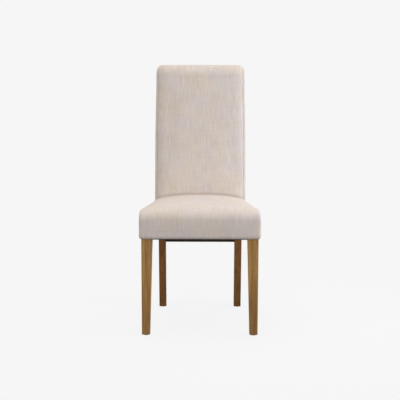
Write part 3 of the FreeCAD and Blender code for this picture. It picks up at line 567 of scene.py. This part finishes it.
across = np.cumsum(np.linalg.norm(np.diff(ring, axis=1, prepend=ring[:, :1]), axis=2), axis=1)
across -= across[:, columnCount // 2, None]
half = len(frontPlaces)
ringIndex = gridIndex(ring)
backPoints = ring.reshape(-1, 3)
seamColumn = backColumns["toSide"]
seamRow = rowCount - 1 - len(rise) - backRows["neck"] // 2


# Border: straight lines between matching places on its front and rear edges, closed by a fan at the tip
def borderFill(points, column):
    pairs = np.arange(half - 1)
    first, last = ringIndex[pairs, column], ringIndex[rowCount - 1 - pairs, column]
    share = np.linspace(0, 1, backColumns["border"] + 2)[1:-1, None]
    inner = points[first][:, None] * (1 - share) + points[last][:, None] * share
    index = np.column_stack([first, len(points) + gridIndex(inner), last])
    tip = np.full(index.shape[1] - 1, ringIndex[half - 1, column])
    fan = np.stack([index[-1, :-1], index[-1, 1:], tip], 1)
    return np.concatenate([points, inner.reshape(-1, 3)]), index, fan


backPoints, leftIndex, leftFan = borderFill(backPoints, 0)
backPoints, rightIndex, rightFan = borderFill(backPoints, columnCount - 1)
sideFaces = {"left": (gridQuads(leftIndex)[:, ::-1], leftFan[:, ::-1]),
             "right": (gridQuads(rightIndex[:, ::-1])[:, ::-1], rightFan)}
backFaces = [gridQuads(ringIndex), *sideFaces["left"], *sideFaces["right"]]

# Pinned: the seams, the join in the hollow, the foot of the back and all that the seat hides
heldTo = frontLine(backShape["hiddenTo"]) + backHold["hiddenDepth"]
backPinned = backPoints[:, 2] < backBase + backHold["footPin"]
backPinned[ringIndex[:, [seamColumn, columnCount - 1 - seamColumn]]] = True
backPinned[ringIndex[seamRow]] = True
backPinned |= (backPoints[:, 2] < backShape["hiddenTo"]) & (backPoints[:, 1] < heldTo)

# The flat front gives all of its push, the tight rear and borders less, the scroll little, what is hidden none
facing = pointNormals(backPoints, backFaces) @ frontNormal
hidden = np.where(facing > backHold["front"],
                  rampUp(backPoints[:, 2], backShape["hiddenTo"], backHold["hiddenFade"]),
                  rampUp(backPoints[:, 2], backBase + backHold["footFrom"], backHold["footFade"]))
onScroll = rampUp(backPoints[:, 2], rollZ - backHold["scrollFade"], backHold["scrollFade"])
backGive = backHold["tight"] + (1 - backHold["tight"]) * np.clip(facing, 0, 1) ** 2
backGive *= hidden * (1 - backHold["scroll"] * ease(onScroll))
backPoints = puffUp("backPadding", backPoints, backFaces, backPinned, backGive, backPuff)


# A sewn seam: a narrow dip, a bell over the distance from it, with small even puckers along it
def sewSeam(points, normals, distance, along, look):
    bell = np.exp(-(distance / look["width"]) ** 2)
    wide = np.exp(-(distance / (look["width"] * look["puckerWidth"])) ** 2)
    pucker = look["pucker"] * np.sin(2 * math.pi * along / look["puckerStep"]) * wide
    return points - normals * (look["depth"] * bell + pucker)[:, None]


# Places on the flat cloth; the borders' inner points are given one metre, which is far from every seam
acrossAll, alongAll, fromSeam = np.ones((3, len(backPoints)))
acrossAll[:ringIndex.size] = across.ravel()
alongAll[:ringIndex.size] = np.repeat(backPlaces, columnCount)
fromSeam[:ringIndex.size] = (np.abs(across) - across[:, -1 - seamColumn, None]).ravel()
fromJoin = np.where(acrossAll < 1, alongAll - backPlaces[seamRow], 1.0)
outward = pointNormals(backPoints, backFaces)
backPoints = sewSeam(backPoints, outward, fromSeam, alongAll, backSeam)
backPoints = sewSeam(backPoints, outward, fromJoin, acrossAll, backSeam)

# The front is pulled in along the crease: a bell over the height above it, less where the cloth turns to the side
above = backPoints[:, 2] - backShape["creaseAt"] + backShape["creaseFall"] * np.abs(backPoints[:, 0]) ** 3
pull = np.exp(-(above / backShape["creaseWidth"]) ** 2) * np.clip(outward @ frontNormal, 0, 1) ** 2
backPoints[:, 1] += backShape["creaseDepth"] * pull


# The cloth's lower edge turned in level at the base, as far as a box round the posts
def turnIn(points, row, postSide):
    inner = points[row].copy()
    inner[:, 0] = np.clip(inner[:, 0], -postSide, postSide)
    inner[:, 1] = np.clip(inner[:, 1], frontLine(backBase) + edge, backShape["postRear"])
    return np.concatenate([points, inner]), np.stack([row, len(points) + np.arange(len(row))])


# Flat cloth: across and along the panels, and on a border its side view
def sewBack():
    inside = slice(seamColumn, columnCount - seamColumn)
    frontFaces, rearFaces = gridQuads(ringIndex[:seamRow + 1, inside]), gridQuads(ringIndex[seamRow:, inside])
    flat = np.stack([acrossAll, alongAll], 1)
    made = {"insideBack": newPiece("insideBack", backPoints, [(frontFaces, flat)], linen)}
    points, hem = turnIn(backPoints, ringIndex[-1, inside], math.inf)
    flat = np.concatenate([flat, flat[hem[0]] + [0, backShape["hem"]]])
    made["outsideBack"] = newPiece("outsideBack", points, [(rearFaces, flat), (gridQuads(hem), flat)], linen)
    for side, sign, rim, grid in (("left", -1, ringIndex[:, seamColumn::-1], leftIndex),
                                  ("right", 1, ringIndex[:, columnCount - 1 - seamColumn:], rightIndex)):
        row = np.concatenate([rim[0], grid[0, 1:-1], rim[-1, ::-1]])
        points, hem = turnIn(backPoints, row, backShape["postSide"])
        sideView = np.stack([sign * points[:, 1], points[:, 2]], 1)
        faces = [gridQuads(rim)[:, ::sign], *sideFaces[side], gridQuads(hem)[:, ::-sign]]
        made[side + "Border"] = newPiece(side + "Border", points, [(group, sideView) for group in faces], linen)
    for piece in made.values():
        addThickness(piece, backShape["cloth"], -1)
    return made


backPieces = sewBack()
print("back padded and sewn")

# The seat is a tight cover over foam: upright front, large round front edge, crowned top, tucked in at the back
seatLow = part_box("seat_cover")[0]
seatShape = {
    "crown": 0.506,           # height of the top where it meets the back
    "tilt": math.radians(1.3),
    "frontRound": 0.044,
    "edge": 0.010,
    "baseRound": 0.013,
    "dropFront": 0.003,       # how far the sides lie lower than the middle, and how that grows to the rear
    "dropRear": 0.039,
    "dropCurve": 1.25,
    "halfWidth": 0.235,
    "widest": -0.298,
    "taper": 0.1016,
    "tuck": 0.014,            # radius of the roll into the crease
    "tail": 0.060,            # cloth that goes down the crease
    "baseReach": 0.08,        # over this length the base is drawn to the line of the back
    "clear": 0.0006,
    "shrink": 0.0004,
    "rearStep": 0.005,        # rows down the rear, on the flat cloth
}
seatPuff = {"cap": 0.005, "evenings": 10}
seatHold = {
    "basePin": 0.010,         # cloth held at the base and along the crease
    "creasePin": 0.004,
    "creaseFade": 0.03,       # lengths over which the padding comes in
    "baseFade": 0.03,
    "upright": 0.25,          # share of the push that the front and the sides give
}
seatRows = {"top": 80, "front": 30, "tail": 14}
seatColumns = {"face": 38, "edge": 8}
seatBase, seatFront = seatLow.z, seatLow.y
crease = frontLine(seatShape["crown"])


def seatSide(y):    # half width, narrowing evenly towards the back
    return seatShape["halfWidth"] - (np.minimum(y, crease) - seatShape["widest"]) * seatShape["taper"]


# y of the back's front at a place: the raked line, the crown's recess and the round end
def backFront(x, z):
    beyond = rampUp(np.abs(x), halfBack - frontEdge, frontEdge)
    return frontLine(z) + backShape["crown"] * (x / halfBack) ** 4 + edge * (1 - np.sqrt(1 - beyond ** 2))


# Base forward, small round, front up, large round, top back to the crease and on past it
def seatPath():
    tilt, front, low = seatShape["tilt"], seatShape["frontRound"], seatShape["baseRound"]
    roundY = seatFront + front
    roundZ = seatShape["crown"] - (crease - roundY + front * math.sin(tilt)) * math.tan(tilt) - front * math.cos(tilt)
    lower = arcRun((seatFront + low, seatBase + low), low, -math.pi / 2, -math.pi)
    upper = arcRun((roundY, roundZ), front, math.pi, math.pi / 2 + tilt)
    last = (crease + seatShape["tail"], seatShape["crown"] + seatShape["tail"] * math.tan(tilt))
    return joinRuns([lineRun((frontLine(seatBase), seatBase), lower[0]), lower, lineRun(lower[-1], upper[0]), upper,
                     lineRun(upper[-1], (crease, seatShape["crown"])), lineRun((crease, seatShape["crown"]), last)])


# Past the crease the top bends down along the back: its overrun becomes an arc and then a fall
def tuckIn(points):
    radius = seatShape["tuck"]
    x, y, z = np.moveaxis(points, -1, 0)
    limit = backFront(x, z) - seatShape["clear"]
    over = y - limit + radius
    turn = np.clip(over / radius, 0, math.pi / 2)
    newZ = z - radius * (1 - np.cos(turn)) - np.maximum(over - radius * math.pi / 2, 0)
    bent = np.minimum(limit - radius + radius * np.sin(turn), backFront(x, newZ) - seatShape["clear"])
    return np.stack([x, np.where(over > 0, bent, y), newZ], -1)


# x is a share of the half width plus the round edge; z is scaled down towards the sides for the crown
def seatSurface(point, normal, flats, turns):
    edgeRadius, shrink = seatShape["edge"], seatShape["shrink"]
    depth = edgeRadius * (1 - np.cos(turns)) + shrink
    y = point[:, :1] - normal[:, :1] * depth
    z = point[:, 1:] - normal[:, 1:] * depth
    x = flats * (seatSide(y) - edgeRadius - shrink) + edgeRadius * np.sin(turns)
    onBase = (normal[:, 1:] < -0.5) * np.clip(1 - (frontLine(seatBase) - y) / seatShape["baseReach"], 0, 1)
    y = y + onBase * (backFront(x, z) - frontLine(z) - seatShape["clear"])
    share = rampUp(y, seatFront, crease - seatFront) ** seatShape["dropCurve"]
    drop = seatShape["dropFront"] + (seatShape["dropRear"] - seatShape["dropFront"]) * share
    lowered = drop * np.abs(x / seatShape["halfWidth"]) ** 3 / (seatShape["crown"] - seatBase)
    return np.stack([x, y, seatBase + (z - seatBase) * (1 - lowered)], -1)


# Rows go forward under the base, up the front, back over the top, down the crease and down the rear
seatLine = seatPath()
seatEnds = seatLine["ends"]
topSteps, frontSteps, tailSteps = seatRows["top"], seatRows["front"], seatRows["tail"]
lowerMiddle, upperMiddle = (seatEnds[0] + seatEnds[1]) / 2, (seatEnds[2] + seatEnds[3]) / 2
seatPlaces = spread([0, lowerMiddle, upperMiddle, seatEnds[4], seatEnds[5]],
                    [topSteps, frontSteps, topSteps, tailSteps])
seatFlats, seatTurns = acrossColumns(seatColumns["face"], np.linspace(0, math.pi / 2, seatColumns["edge"] + 1)[1:])
seatRing = seatSurface(*walkPath(seatLine, seatPlaces), seatFlats, seatTurns)
topFrom = topSteps + frontSteps + topSteps // 2
seatRing[topFrom:] = tuckIn(seatRing[topFrom:])
downRear = np.linspace(0, 1, frontSteps - tailSteps + 1)[1:-1, None, None]
rear = seatRing[-1] * (1 - downRear) + seatRing[0] * downRear
rear[..., 1] = np.minimum(rear[..., 1], backFront(rear[..., 0], rear[..., 2]) - seatShape["clear"])
seatRing = np.concatenate([seatRing, rear])
seatIndex = gridIndex(seatRing)
seatPoints = seatRing.reshape(-1, 3)
seatLoop = np.concatenate([seatIndex, seatIndex[:1]])


# A side: each inner point blends its four edges less the blend of the four corners, laid on the tapered side
def fillSeatSide(points, column, sign):
    loop = seatLoop[:, column]
    index = np.empty((topSteps + 1, frontSteps + 1), int)
    index[:, 0] = loop[:topSteps + 1]
    index[-1] = loop[topSteps:topSteps + frontSteps + 1]
    index[:, -1] = loop[topSteps + frontSteps:2 * topSteps + frontSteps + 1][::-1]
    index[0] = loop[2 * topSteps + frontSteps:][::-1]
    p = np.linspace(0, 1, topSteps + 1)[1:-1, None, None]
    q = np.linspace(0, 1, frontSteps + 1)[None, 1:-1, None]
    low, top = points[index[1:-1, 0]][:, None], points[index[1:-1, -1]][:, None]
    back, front = points[index[0, 1:-1]][None], points[index[-1, 1:-1]][None]
    corner = points[index[[0, 0, -1, -1], [0, -1, 0, -1]]]
    inner = low * (1 - q) + top * q + back * (1 - p) + front * p
    inner -= (corner[0] * (1 - q) + corner[1] * q) * (1 - p) + (corner[2] * (1 - q) + corner[3] * q) * p
    inner[..., 0] = sign * (seatSide(inner[..., 1]) - seatShape["shrink"])
    index[1:-1, 1:-1] = len(points) + gridIndex(inner)
    return np.concatenate([points, inner.reshape(-1, 3)]), gridQuads(index)


seatPoints, leftFaces = fillSeatSide(seatPoints, 0, -1)
seatPoints, rightFaces = fillSeatSide(seatPoints, -1, 1)
seatFaces = [gridQuads(seatLoop), leftFaces[:, ::-1], rightFaces]

# The top gives all of its push, the upright front and sides a little, the crease and the base none
toCrease = backFront(seatPoints[:, 0], seatPoints[:, 2]) - seatHold["creasePin"] - seatPoints[:, 1]
pinTop = seatBase + seatHold["basePin"]
seatPinned = (seatPoints[:, 2] < pinTop) | (toCrease < 0)
rising = pointNormals(seatPoints, seatFaces)[:, 2]
seatGive = seatHold["upright"] + (1 - seatHold["upright"]) * np.clip(rising, 0, 1) ** 2
seatGive *= rampUp(toCrease, 0, seatHold["creaseFade"]) * rampUp(seatPoints[:, 2], pinTop, seatHold["baseFade"])
seatPoints = puffUp("seatPadding", seatPoints, seatFaces, seatPinned, seatGive, seatPuff)
seatLimit = backFront(seatPoints[:, 0], np.minimum(seatPoints[:, 2], seatShape["crown"])) - seatShape["clear"]
seatPoints[:, 1] = np.minimum(seatPoints[:, 1], seatLimit)

# Flat cloth: across and along the strip from the base round to the rear, and on a side its side view
rowPlaces = np.concatenate([seatPlaces, seatPlaces[-1] + np.arange(1, len(rear) + 1) * seatShape["rearStep"]])
columnPlaces = seatFlats * seatShape["halfWidth"] + seatShape["edge"] * seatTurns
stripFlat = np.zeros((len(seatPoints), 2))
stripFlat[:seatIndex.size, 0] = np.tile(columnPlaces, len(rowPlaces))
stripFlat[:seatIndex.size, 1] = np.repeat(rowPlaces, len(columnPlaces))
sideViews = [np.stack([sign * seatPoints[:, 1], seatPoints[:, 2]], 1) for sign in (-1, 1)]
seatPad = newPiece("seatPad", seatPoints, list(zip(seatFaces, [stripFlat, *sideViews])), linen)
print("seat padded")

# Dust cover: thin black cloth under the seat, notched round the legs and posts, sagging a little in the middle
dustLow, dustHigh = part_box("dust_cover")
dustShape = {
    "legInner": 0.183,
    "legRear": -0.257,
    "postInner": 0.148,
    "postFront": 0.1505,
    "frontSide": 0.2228,
    "rearSide": 0.1731,
    "sag": 0.003,
    "clear": 0.0002,
    "cloth": 0.0005,
    "columns": (18, 4, 4),    # to the posts, to the legs and to the sides
    "rows": (6, 44, 3),
}
stapleShape = {"length": 0.010, "wire": 0.0006, "leg": 0.0008, "edgeGap": 0.006, "endGap": 0.02, "pitch": 0.036}


# Column lines run with the taper: at 1 along the posts, at 2 to the legs, at 3 along the outer edge
def dustSurface():
    s = spread([0, 1, 2, 3], dustShape["columns"])
    s = np.concatenate([-s[:0:-1], s])
    y = spread([dustLow.y, dustShape["legRear"], dustShape["postFront"], dustHigh.y], dustShape["rows"])
    share = rampUp(y, dustShape["legRear"], dustShape["postFront"] - dustShape["legRear"])
    outer = dustShape["frontSide"] + (dustShape["rearSide"] - dustShape["frontSide"]) * share
    legsRear = 0.5 * (dustShape["postInner"] + dustShape["rearSide"])
    legs = dustShape["legInner"] + (legsRear - dustShape["legInner"]) * share
    step = np.abs(s)
    x = np.minimum(step, 1) * dustShape["postInner"]
    x = x + np.clip(step - 1, 0, 1) * (legs - dustShape["postInner"])[:, None]
    x = np.sign(s) * (x + np.clip(step - 2, 0, 1) * (outer - legs)[:, None])
    yAll = np.broadcast_to(y[:, None], x.shape)
    middle, reach = (dustLow.y + dustHigh.y) / 2, (dustHigh.y - dustLow.y) / 2
    hang = np.clip(1 - (x / outer[:, None]) ** 2, 0, 1) * np.clip(1 - ((yAll - middle) / reach) ** 2, 0, 1)
    centre = (step[:-1] + step[1:]) / 2
    there = np.where((y[:-1] >= dustShape["postFront"])[:, None], centre < 1,
                     np.where((y[:-1] < dustShape["legRear"])[:, None], centre < 2, True))
    return np.stack([x, yAll, dustHigh.z - dustShape["clear"] - dustShape["sag"] * hang], -1), there


dustGrid, dustThere = dustSurface()
dustFaces = gridQuads(gridIndex(dustGrid))[dustThere.ravel()][:, ::-1]
dustPoints = dustGrid.reshape(-1, 3)
dustCover = newPiece("dustCover", dustPoints, [(dustFaces, dustPoints[:, :2])], specks["polypropyleneNonWoven"])
addThickness(dustCover, dustShape["cloth"], 1)


def stapleSpots(start, end):    # even places on a line about a pitch apart, and its direction at each
    length = np.linalg.norm(end - start)
    count = int(length / stapleShape["pitch"]) + 1
    return start + (end - start) * np.linspace(0, 1, count)[:, None], np.tile((end - start) / length, (count, 1))


# Staples: a short wire bar with its ends turned up into the rail, repeated at each place and heading
def stapleRows():
    gap, clear = stapleShape["edgeGap"], stapleShape["endGap"]
    legs, posts = dustShape["legInner"] - clear, dustShape["postInner"] - clear
    runs = [((-legs, dustLow.y + gap), (legs, dustLow.y + gap)),
            ((-posts, dustHigh.y - gap), (posts, dustHigh.y - gap))]
    runs += [((sign * (dustShape["frontSide"] - gap), dustShape["legRear"] + clear),
              (sign * (dustShape["rearSide"] - gap), dustShape["postFront"] - clear)) for sign in (-1, 1)]
    placed = [stapleSpots(np.array(start), np.array(end)) for start, end in runs]
    spots, headings = [np.concatenate(parts) for parts in zip(*placed)]
    sideways = headings[:, ::-1] * [-1, 1]
    end, wire = stapleShape["length"] / 2, stapleShape["wire"]
    along = np.array([-end, -end + wire, end - wire, end])
    lift = np.array([stapleShape["leg"], 0, 0, stapleShape["leg"]])
    square = np.array([(-wire, -wire), (wire, -wire), (wire, wire), (-wire, wire)])
    bar = np.stack([np.repeat(along, 4), np.tile(square[:, 0], 4), np.repeat(lift, 4) + np.tile(square[:, 1], 4)], 1)
    level = spots[:, None] + bar[None, :, :1] * headings[:, None] + bar[None, :, 1:2] * sideways[:, None]
    height = dustLow.z - dustShape["cloth"] / 2 + np.broadcast_to(bar[:, 2], level.shape[:2])
    index = np.arange(len(bar)).reshape(4, 4)
    loop = np.concatenate([index, index[:, :1]], 1)
    one = np.concatenate([gridQuads(loop)[:, ::-1], index[:1], index[-1:, ::-1]])
    faces = (one[None] + len(bar) * np.arange(len(spots))[:, None, None]).reshape(-1, 4)
    return np.concatenate([level, height[..., None]], -1).reshape(-1, 3), faces


staplePoints, stapleFaces = stapleRows()
staples = newPiece("dustCoverStaples", staplePoints, [(stapleFaces, staplePoints[:, :2])], steel)

# Webbing straps: flat bands that lie on the rails and ride over every second band that they cross
strapShape = {"thickness": 0.0014, "lift": 0.0017, "ramp": 0.008, "clear": 0.026, "step": 0.003, "columns": 8,
              "backSteps": 60}


# z rises by the lift near each crossing that the band rides over, with an eased ramp
def woven(along, crossings):
    near = np.abs(along[:, None] - np.array(crossings)[None, :]).min(1)
    return strapShape["lift"] * ease(rampUp(-near, -strapShape["clear"] - strapShape["ramp"], strapShape["ramp"]))


def bandPiece(name, parts, along, across):
    points = np.stack(np.broadcast_arrays(*parts), -1)
    flat = np.stack(np.broadcast_arrays(across[None, :], along[:, None]), -1).reshape(-1, 2)
    band = newPiece(name, points.reshape(-1, 3), [(gridQuads(gridIndex(points)), flat)], cloths["juteWebbing"])
    addThickness(band, strapShape["thickness"], 0)
    return band


def seatBand(name, node, lengthwise, crossings):
    low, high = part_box(node)
    first, last = (low.y, high.y) if lengthwise else (low.x, high.x)
    along = np.linspace(first, last, int((last - first) / strapShape["step"]))
    across = np.linspace(0, 1, strapShape["columns"] + 1) * ((high.x - low.x) if lengthwise else (high.y - low.y))
    z = low.z + strapShape["thickness"] / 2 + woven(along, crossings)
    if lengthwise:
        parts = low.x + across[None, :], along[:, None], z[:, None]
    else:
        parts = along[:, None], high.y - across[None, :], z[:, None]
    return bandPiece(name, parts, along, across)


def backBand(name, node):    # a level band on the posts, leaning with the back
    low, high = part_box(node)
    tall = (high.z - low.z - strapShape["thickness"] * math.sin(rake)) / math.cos(rake)
    along = np.linspace(low.x, high.x, strapShape["backSteps"])
    across = np.linspace(0, tall, strapShape["columns"] + 1)
    inset = strapShape["thickness"] / 2
    parts = (along[:, None], low.y + inset * math.cos(rake) + across[None, :] * math.sin(rake),
             low.z + inset * math.sin(rake) + across[None, :] * math.cos(rake))
    return bandPiece(name, parts, along, across)


def middleOf(node, axis):
    low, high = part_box(node)
    return (low[axis] + high[axis]) / 2


bands = {}
columnsAt = [middleOf(f"seat_strap_lengthwise_{n + 1}", 0) for n in range(4)]
rowsAt = [middleOf(f"seat_strap_crosswise_{n + 1}", 1) for n in range(4)]
for n in range(4):
    node = f"seat_strap_lengthwise_{n + 1}"
    bands[node] = seatBand(f"seatBandLengthwise{n + 1}", node, True, rowsAt[n % 2::2])
    node = f"seat_strap_crosswise_{n + 1}"
    bands[node] = seatBand(f"seatBandCrosswise{n + 1}", node, False, columnsAt[(n + 1) % 2::2])
    node = f"back_strap_{n + 1}"
    bands[node] = backBand(f"backBand{n + 1}", node)
print(len(bands), "bands of webbing laid")

# Platform cloth: hessian over the webbing, a tapered sheet with a slight dip between the bands
deckLow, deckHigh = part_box("platform_cloth")
deckShape = {"rearSide": 0.1721, "steps": (48, 44), "cloth": 0.0008, "dip": 0.0004}


# x tapers from front to rear; the dip is a shallow wave with one hollow between each two bands
def deckSurface():
    s = np.linspace(-1, 1, deckShape["steps"][0] + 1)[None, :]
    y = np.linspace(deckLow.y, deckHigh.y, deckShape["steps"][1] + 1)[:, None]
    share = (y - deckLow.y) / (deckHigh.y - deckLow.y)
    x = s * (deckHigh.x + (deckShape["rearSide"] - deckHigh.x) * share)
    wave = np.sin((x - columnsAt[0]) * math.pi / (columnsAt[1] - columnsAt[0])) ** 2
    z = deckHigh.z - deckShape["dip"] * wave * np.sin(math.pi * share)
    return np.stack(np.broadcast_arrays(x, y, z), -1)


deckGrid = deckSurface()
deckFaces, deckPoints = gridQuads(gridIndex(deckGrid)), deckGrid.reshape(-1, 3)
platformCloth = newPiece("platformCloth", deckPoints, [(deckFaces, deckPoints[:, :2])], cloths["hessianPlainWeave"])
addThickness(platformCloth, deckShape["cloth"], -1)

# What each piece stands for: its slot name, which nothing here reads, and the frame nodes that it hides; each rides
# on the root
standsFor = {
    seatPad: ("linen", ["seat_cover", "seat_foam", "seat_wadding"]),
    backPieces["insideBack"]: ("linen", ["inside_back_cover", "inside_back_foam", "scroll_foam"]),
    backPieces["outsideBack"]: ("linen", ["outside_back_cover"]),
    backPieces["leftBorder"]: ("linen", ["left_side_cover", "left_side_foam"]),
    backPieces["rightBorder"]: ("linen", ["right_side_cover", "right_side_foam"]),
    dustCover: ("dust_cloth", ["dust_cover"]),
    staples: ("steel", []),
    platformCloth: ("hessian", ["platform_cloth"]),
}
standsFor.update({band: ("webbing", [node]) for node, band in bands.items()})
for piece, (slot, hiddenNodes) in standsFor.items():
    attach(piece, "root")
    if hiddenNodes:
        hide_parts(*hiddenNodes)

# Finishes of the frame pieces that stay as built
finishes = {
    woods["oakOiled"]: ["front_leg_left", "front_leg_right"],
    # posts in the darker oak: a darker stain plus painted shade
    woods["oakOiledDarkStainAndShade"]: ["back_post_left", "back_post_right"],
    woods["hardwoodDarkStained"]: ["rear_seat_rail"],
    woods["beechPlaned"]: ["front_seat_rail", "lower_back_rail", "upper_back_rail", "scroll_rail",
                           *[name for name in nodes if name.endswith("corner_block")]],
    woods["beechPlanedLengthwise"]: ["left_seat_rail", "right_seat_rail"],
    woods["beechDowel"]: ["seat_rail_dowels", "back_rail_dowels"],
    specks["hardboardSmooth"]: ["outside_back_board"],
    specks["nylonMoulded"]: [name for name in nodes if name.endswith("glide")],
    steel: ["corner_block_screws", "glide_nails"],
}
for finish, names in finishes.items():
    for name in names:
        nodes[name].data.materials.clear()
        nodes[name].data.materials.append(finish)
print("frame pieces finished")

# Stage: pale floor that fades into the backdrop, so that only the chair's own soft shadow shows on it
stageLook = {
    "backdrop": "#F6F6F6",
    "paper": "#EDEDED",
    "dim": "#8C8C8C",         # the floor's colour for light that bounces off it
    "shadow": 0.08,
    "fadeFrom": 0.6,          # distances at which the shadow starts to fade and is gone
    "fadeTo": 1.4,
    "reach": 6.0,
}


# Rays that see the stage, straight or in a reflection, get the backdrop's own light
def seenDirectly(tree):
    straight, mirrored, through = [addNode(tree, "LightPath", output=f"Is {kind} Ray")
                                   for kind in ("Camera", "Glossy", "Transmission")]
    return mathNode(tree, "ADD", mathNode(tree, "ADD", straight, mirrored), through, use_clamp=True)


def floorMaterial():
    material, tree = newMaterial("paperSweep")
    place = addNode(tree, "TexCoord", output="Object")
    distance = addNode(tree, "VectorMath", {0: place}, "Value", operation="LENGTH")
    matte = addNode(tree, "BsdfDiffuse", {"Color": toLinear(stageLook["paper"])})
    dim = addNode(tree, "BsdfDiffuse", {"Color": toLinear(stageLook["dim"])})
    glow = addNode(tree, "Emission", {"Color": toLinear(stageLook["backdrop"])})
    fade = rangeNode(tree, distance, stageLook["fadeFrom"], stageLook["fadeTo"], stageLook["shadow"], 0.0,
                     interpolation_type="SMOOTHSTEP")
    seen = addNode(tree, "MixShader", {0: fade, 1: glow, 2: matte})
    both = addNode(tree, "MixShader", {0: seenDirectly(tree), 1: dim, 2: seen})
    addNode(tree, "OutputMaterial", {"Surface": both})
    return material


floorSide = stageLook["reach"]
floorCorners = [(x * floorSide, y * floorSide, 0) for x, y in ((-1, -1), (1, -1), (1, 1), (-1, 1))]
floorMesh = bpy.data.meshes.new("floor")
floorMesh.from_pydata(floorCorners, [], [(0, 1, 2, 3)])
floorMesh.materials.append(floorMaterial())
floor = addObject("floor", floorMesh)

lightLook = {
    "sky": "#FFFFFF",
    "horizon": 0.885,         # strength of the sky, which brightens upwards like a cloudy one
    "zenith": 0.93,
    "top": {"place": (-0.5, -0.8, 6.0), "aim": (0, 0, 0.6), "size": 3.0, "watts": 56, "tint": "#FFE8D0"},
    "side": {"place": (3.0, -0.8, 1.2), "aim": (0, 0, 0.6), "size": 1.2, "watts": 59, "tint": "#E4F0FF"},
}
world = bpy.data.worlds.new("studio")
scene.world = world
world.use_nodes = True
sky = world.node_tree
sky.nodes.clear()
heading = addNode(sky, "TexCoord", output="Generated")
upward = addNode(sky, "SeparateXYZ", {0: heading}, "Z")
strength = rangeNode(sky, upward, 0.0, 1.0, lightLook["horizon"], lightLook["zenith"])
ambient = addNode(sky, "Background", {"Color": toLinear(lightLook["sky"]), "Strength": strength})
backdrop = addNode(sky, "Background", {"Color": toLinear(stageLook["backdrop"])})
worldMix = addNode(sky, "MixShader", {0: seenDirectly(sky), 1: ambient, 2: backdrop})
addNode(sky, "OutputWorld", {"Surface": worldMix})
for name in ("top", "side"):
    look = lightLook[name]
    lamp = bpy.data.lights.new(name, "AREA")
    lamp.shape, lamp.size, lamp.energy = "SQUARE", look["size"], look["watts"]
    lamp.color = toLinear(look["tint"])[:3]
    holder = addObject(name, lamp)
    holder.location = look["place"]
    holder.visible_camera = False
    holder.rotation_mode = "QUATERNION"
    holder.rotation_quaternion = (Vector(look["aim"]) - Vector(look["place"])).to_track_quat("-Z", "Y")

# Camera: from the front, a little above, with a long lens
cameraLook = {"place": (0.0073, -4.0606, 0.9503), "down": 6.365, "left": 0.113, "roll": 0.127, "lens": 88.94}
cameraData = bpy.data.cameras.new("camera")
cameraData.sensor_width = 36.0
cameraData.lens = cameraLook["lens"]
camera = addObject("camera", cameraData)
cameraTurn = (Matrix.Rotation(math.radians(cameraLook["left"]), 4, "Z")
              @ Matrix.Rotation(math.radians(90 - cameraLook["down"]), 4, "X")
              @ Matrix.Rotation(math.radians(cameraLook["roll"]), 4, "Z"))
camera.matrix_world = Matrix.Translation(cameraLook["place"]) @ cameraTurn
scene.camera = camera
scene.view_settings.view_transform = "Standard"
print("stage, lights and camera set")
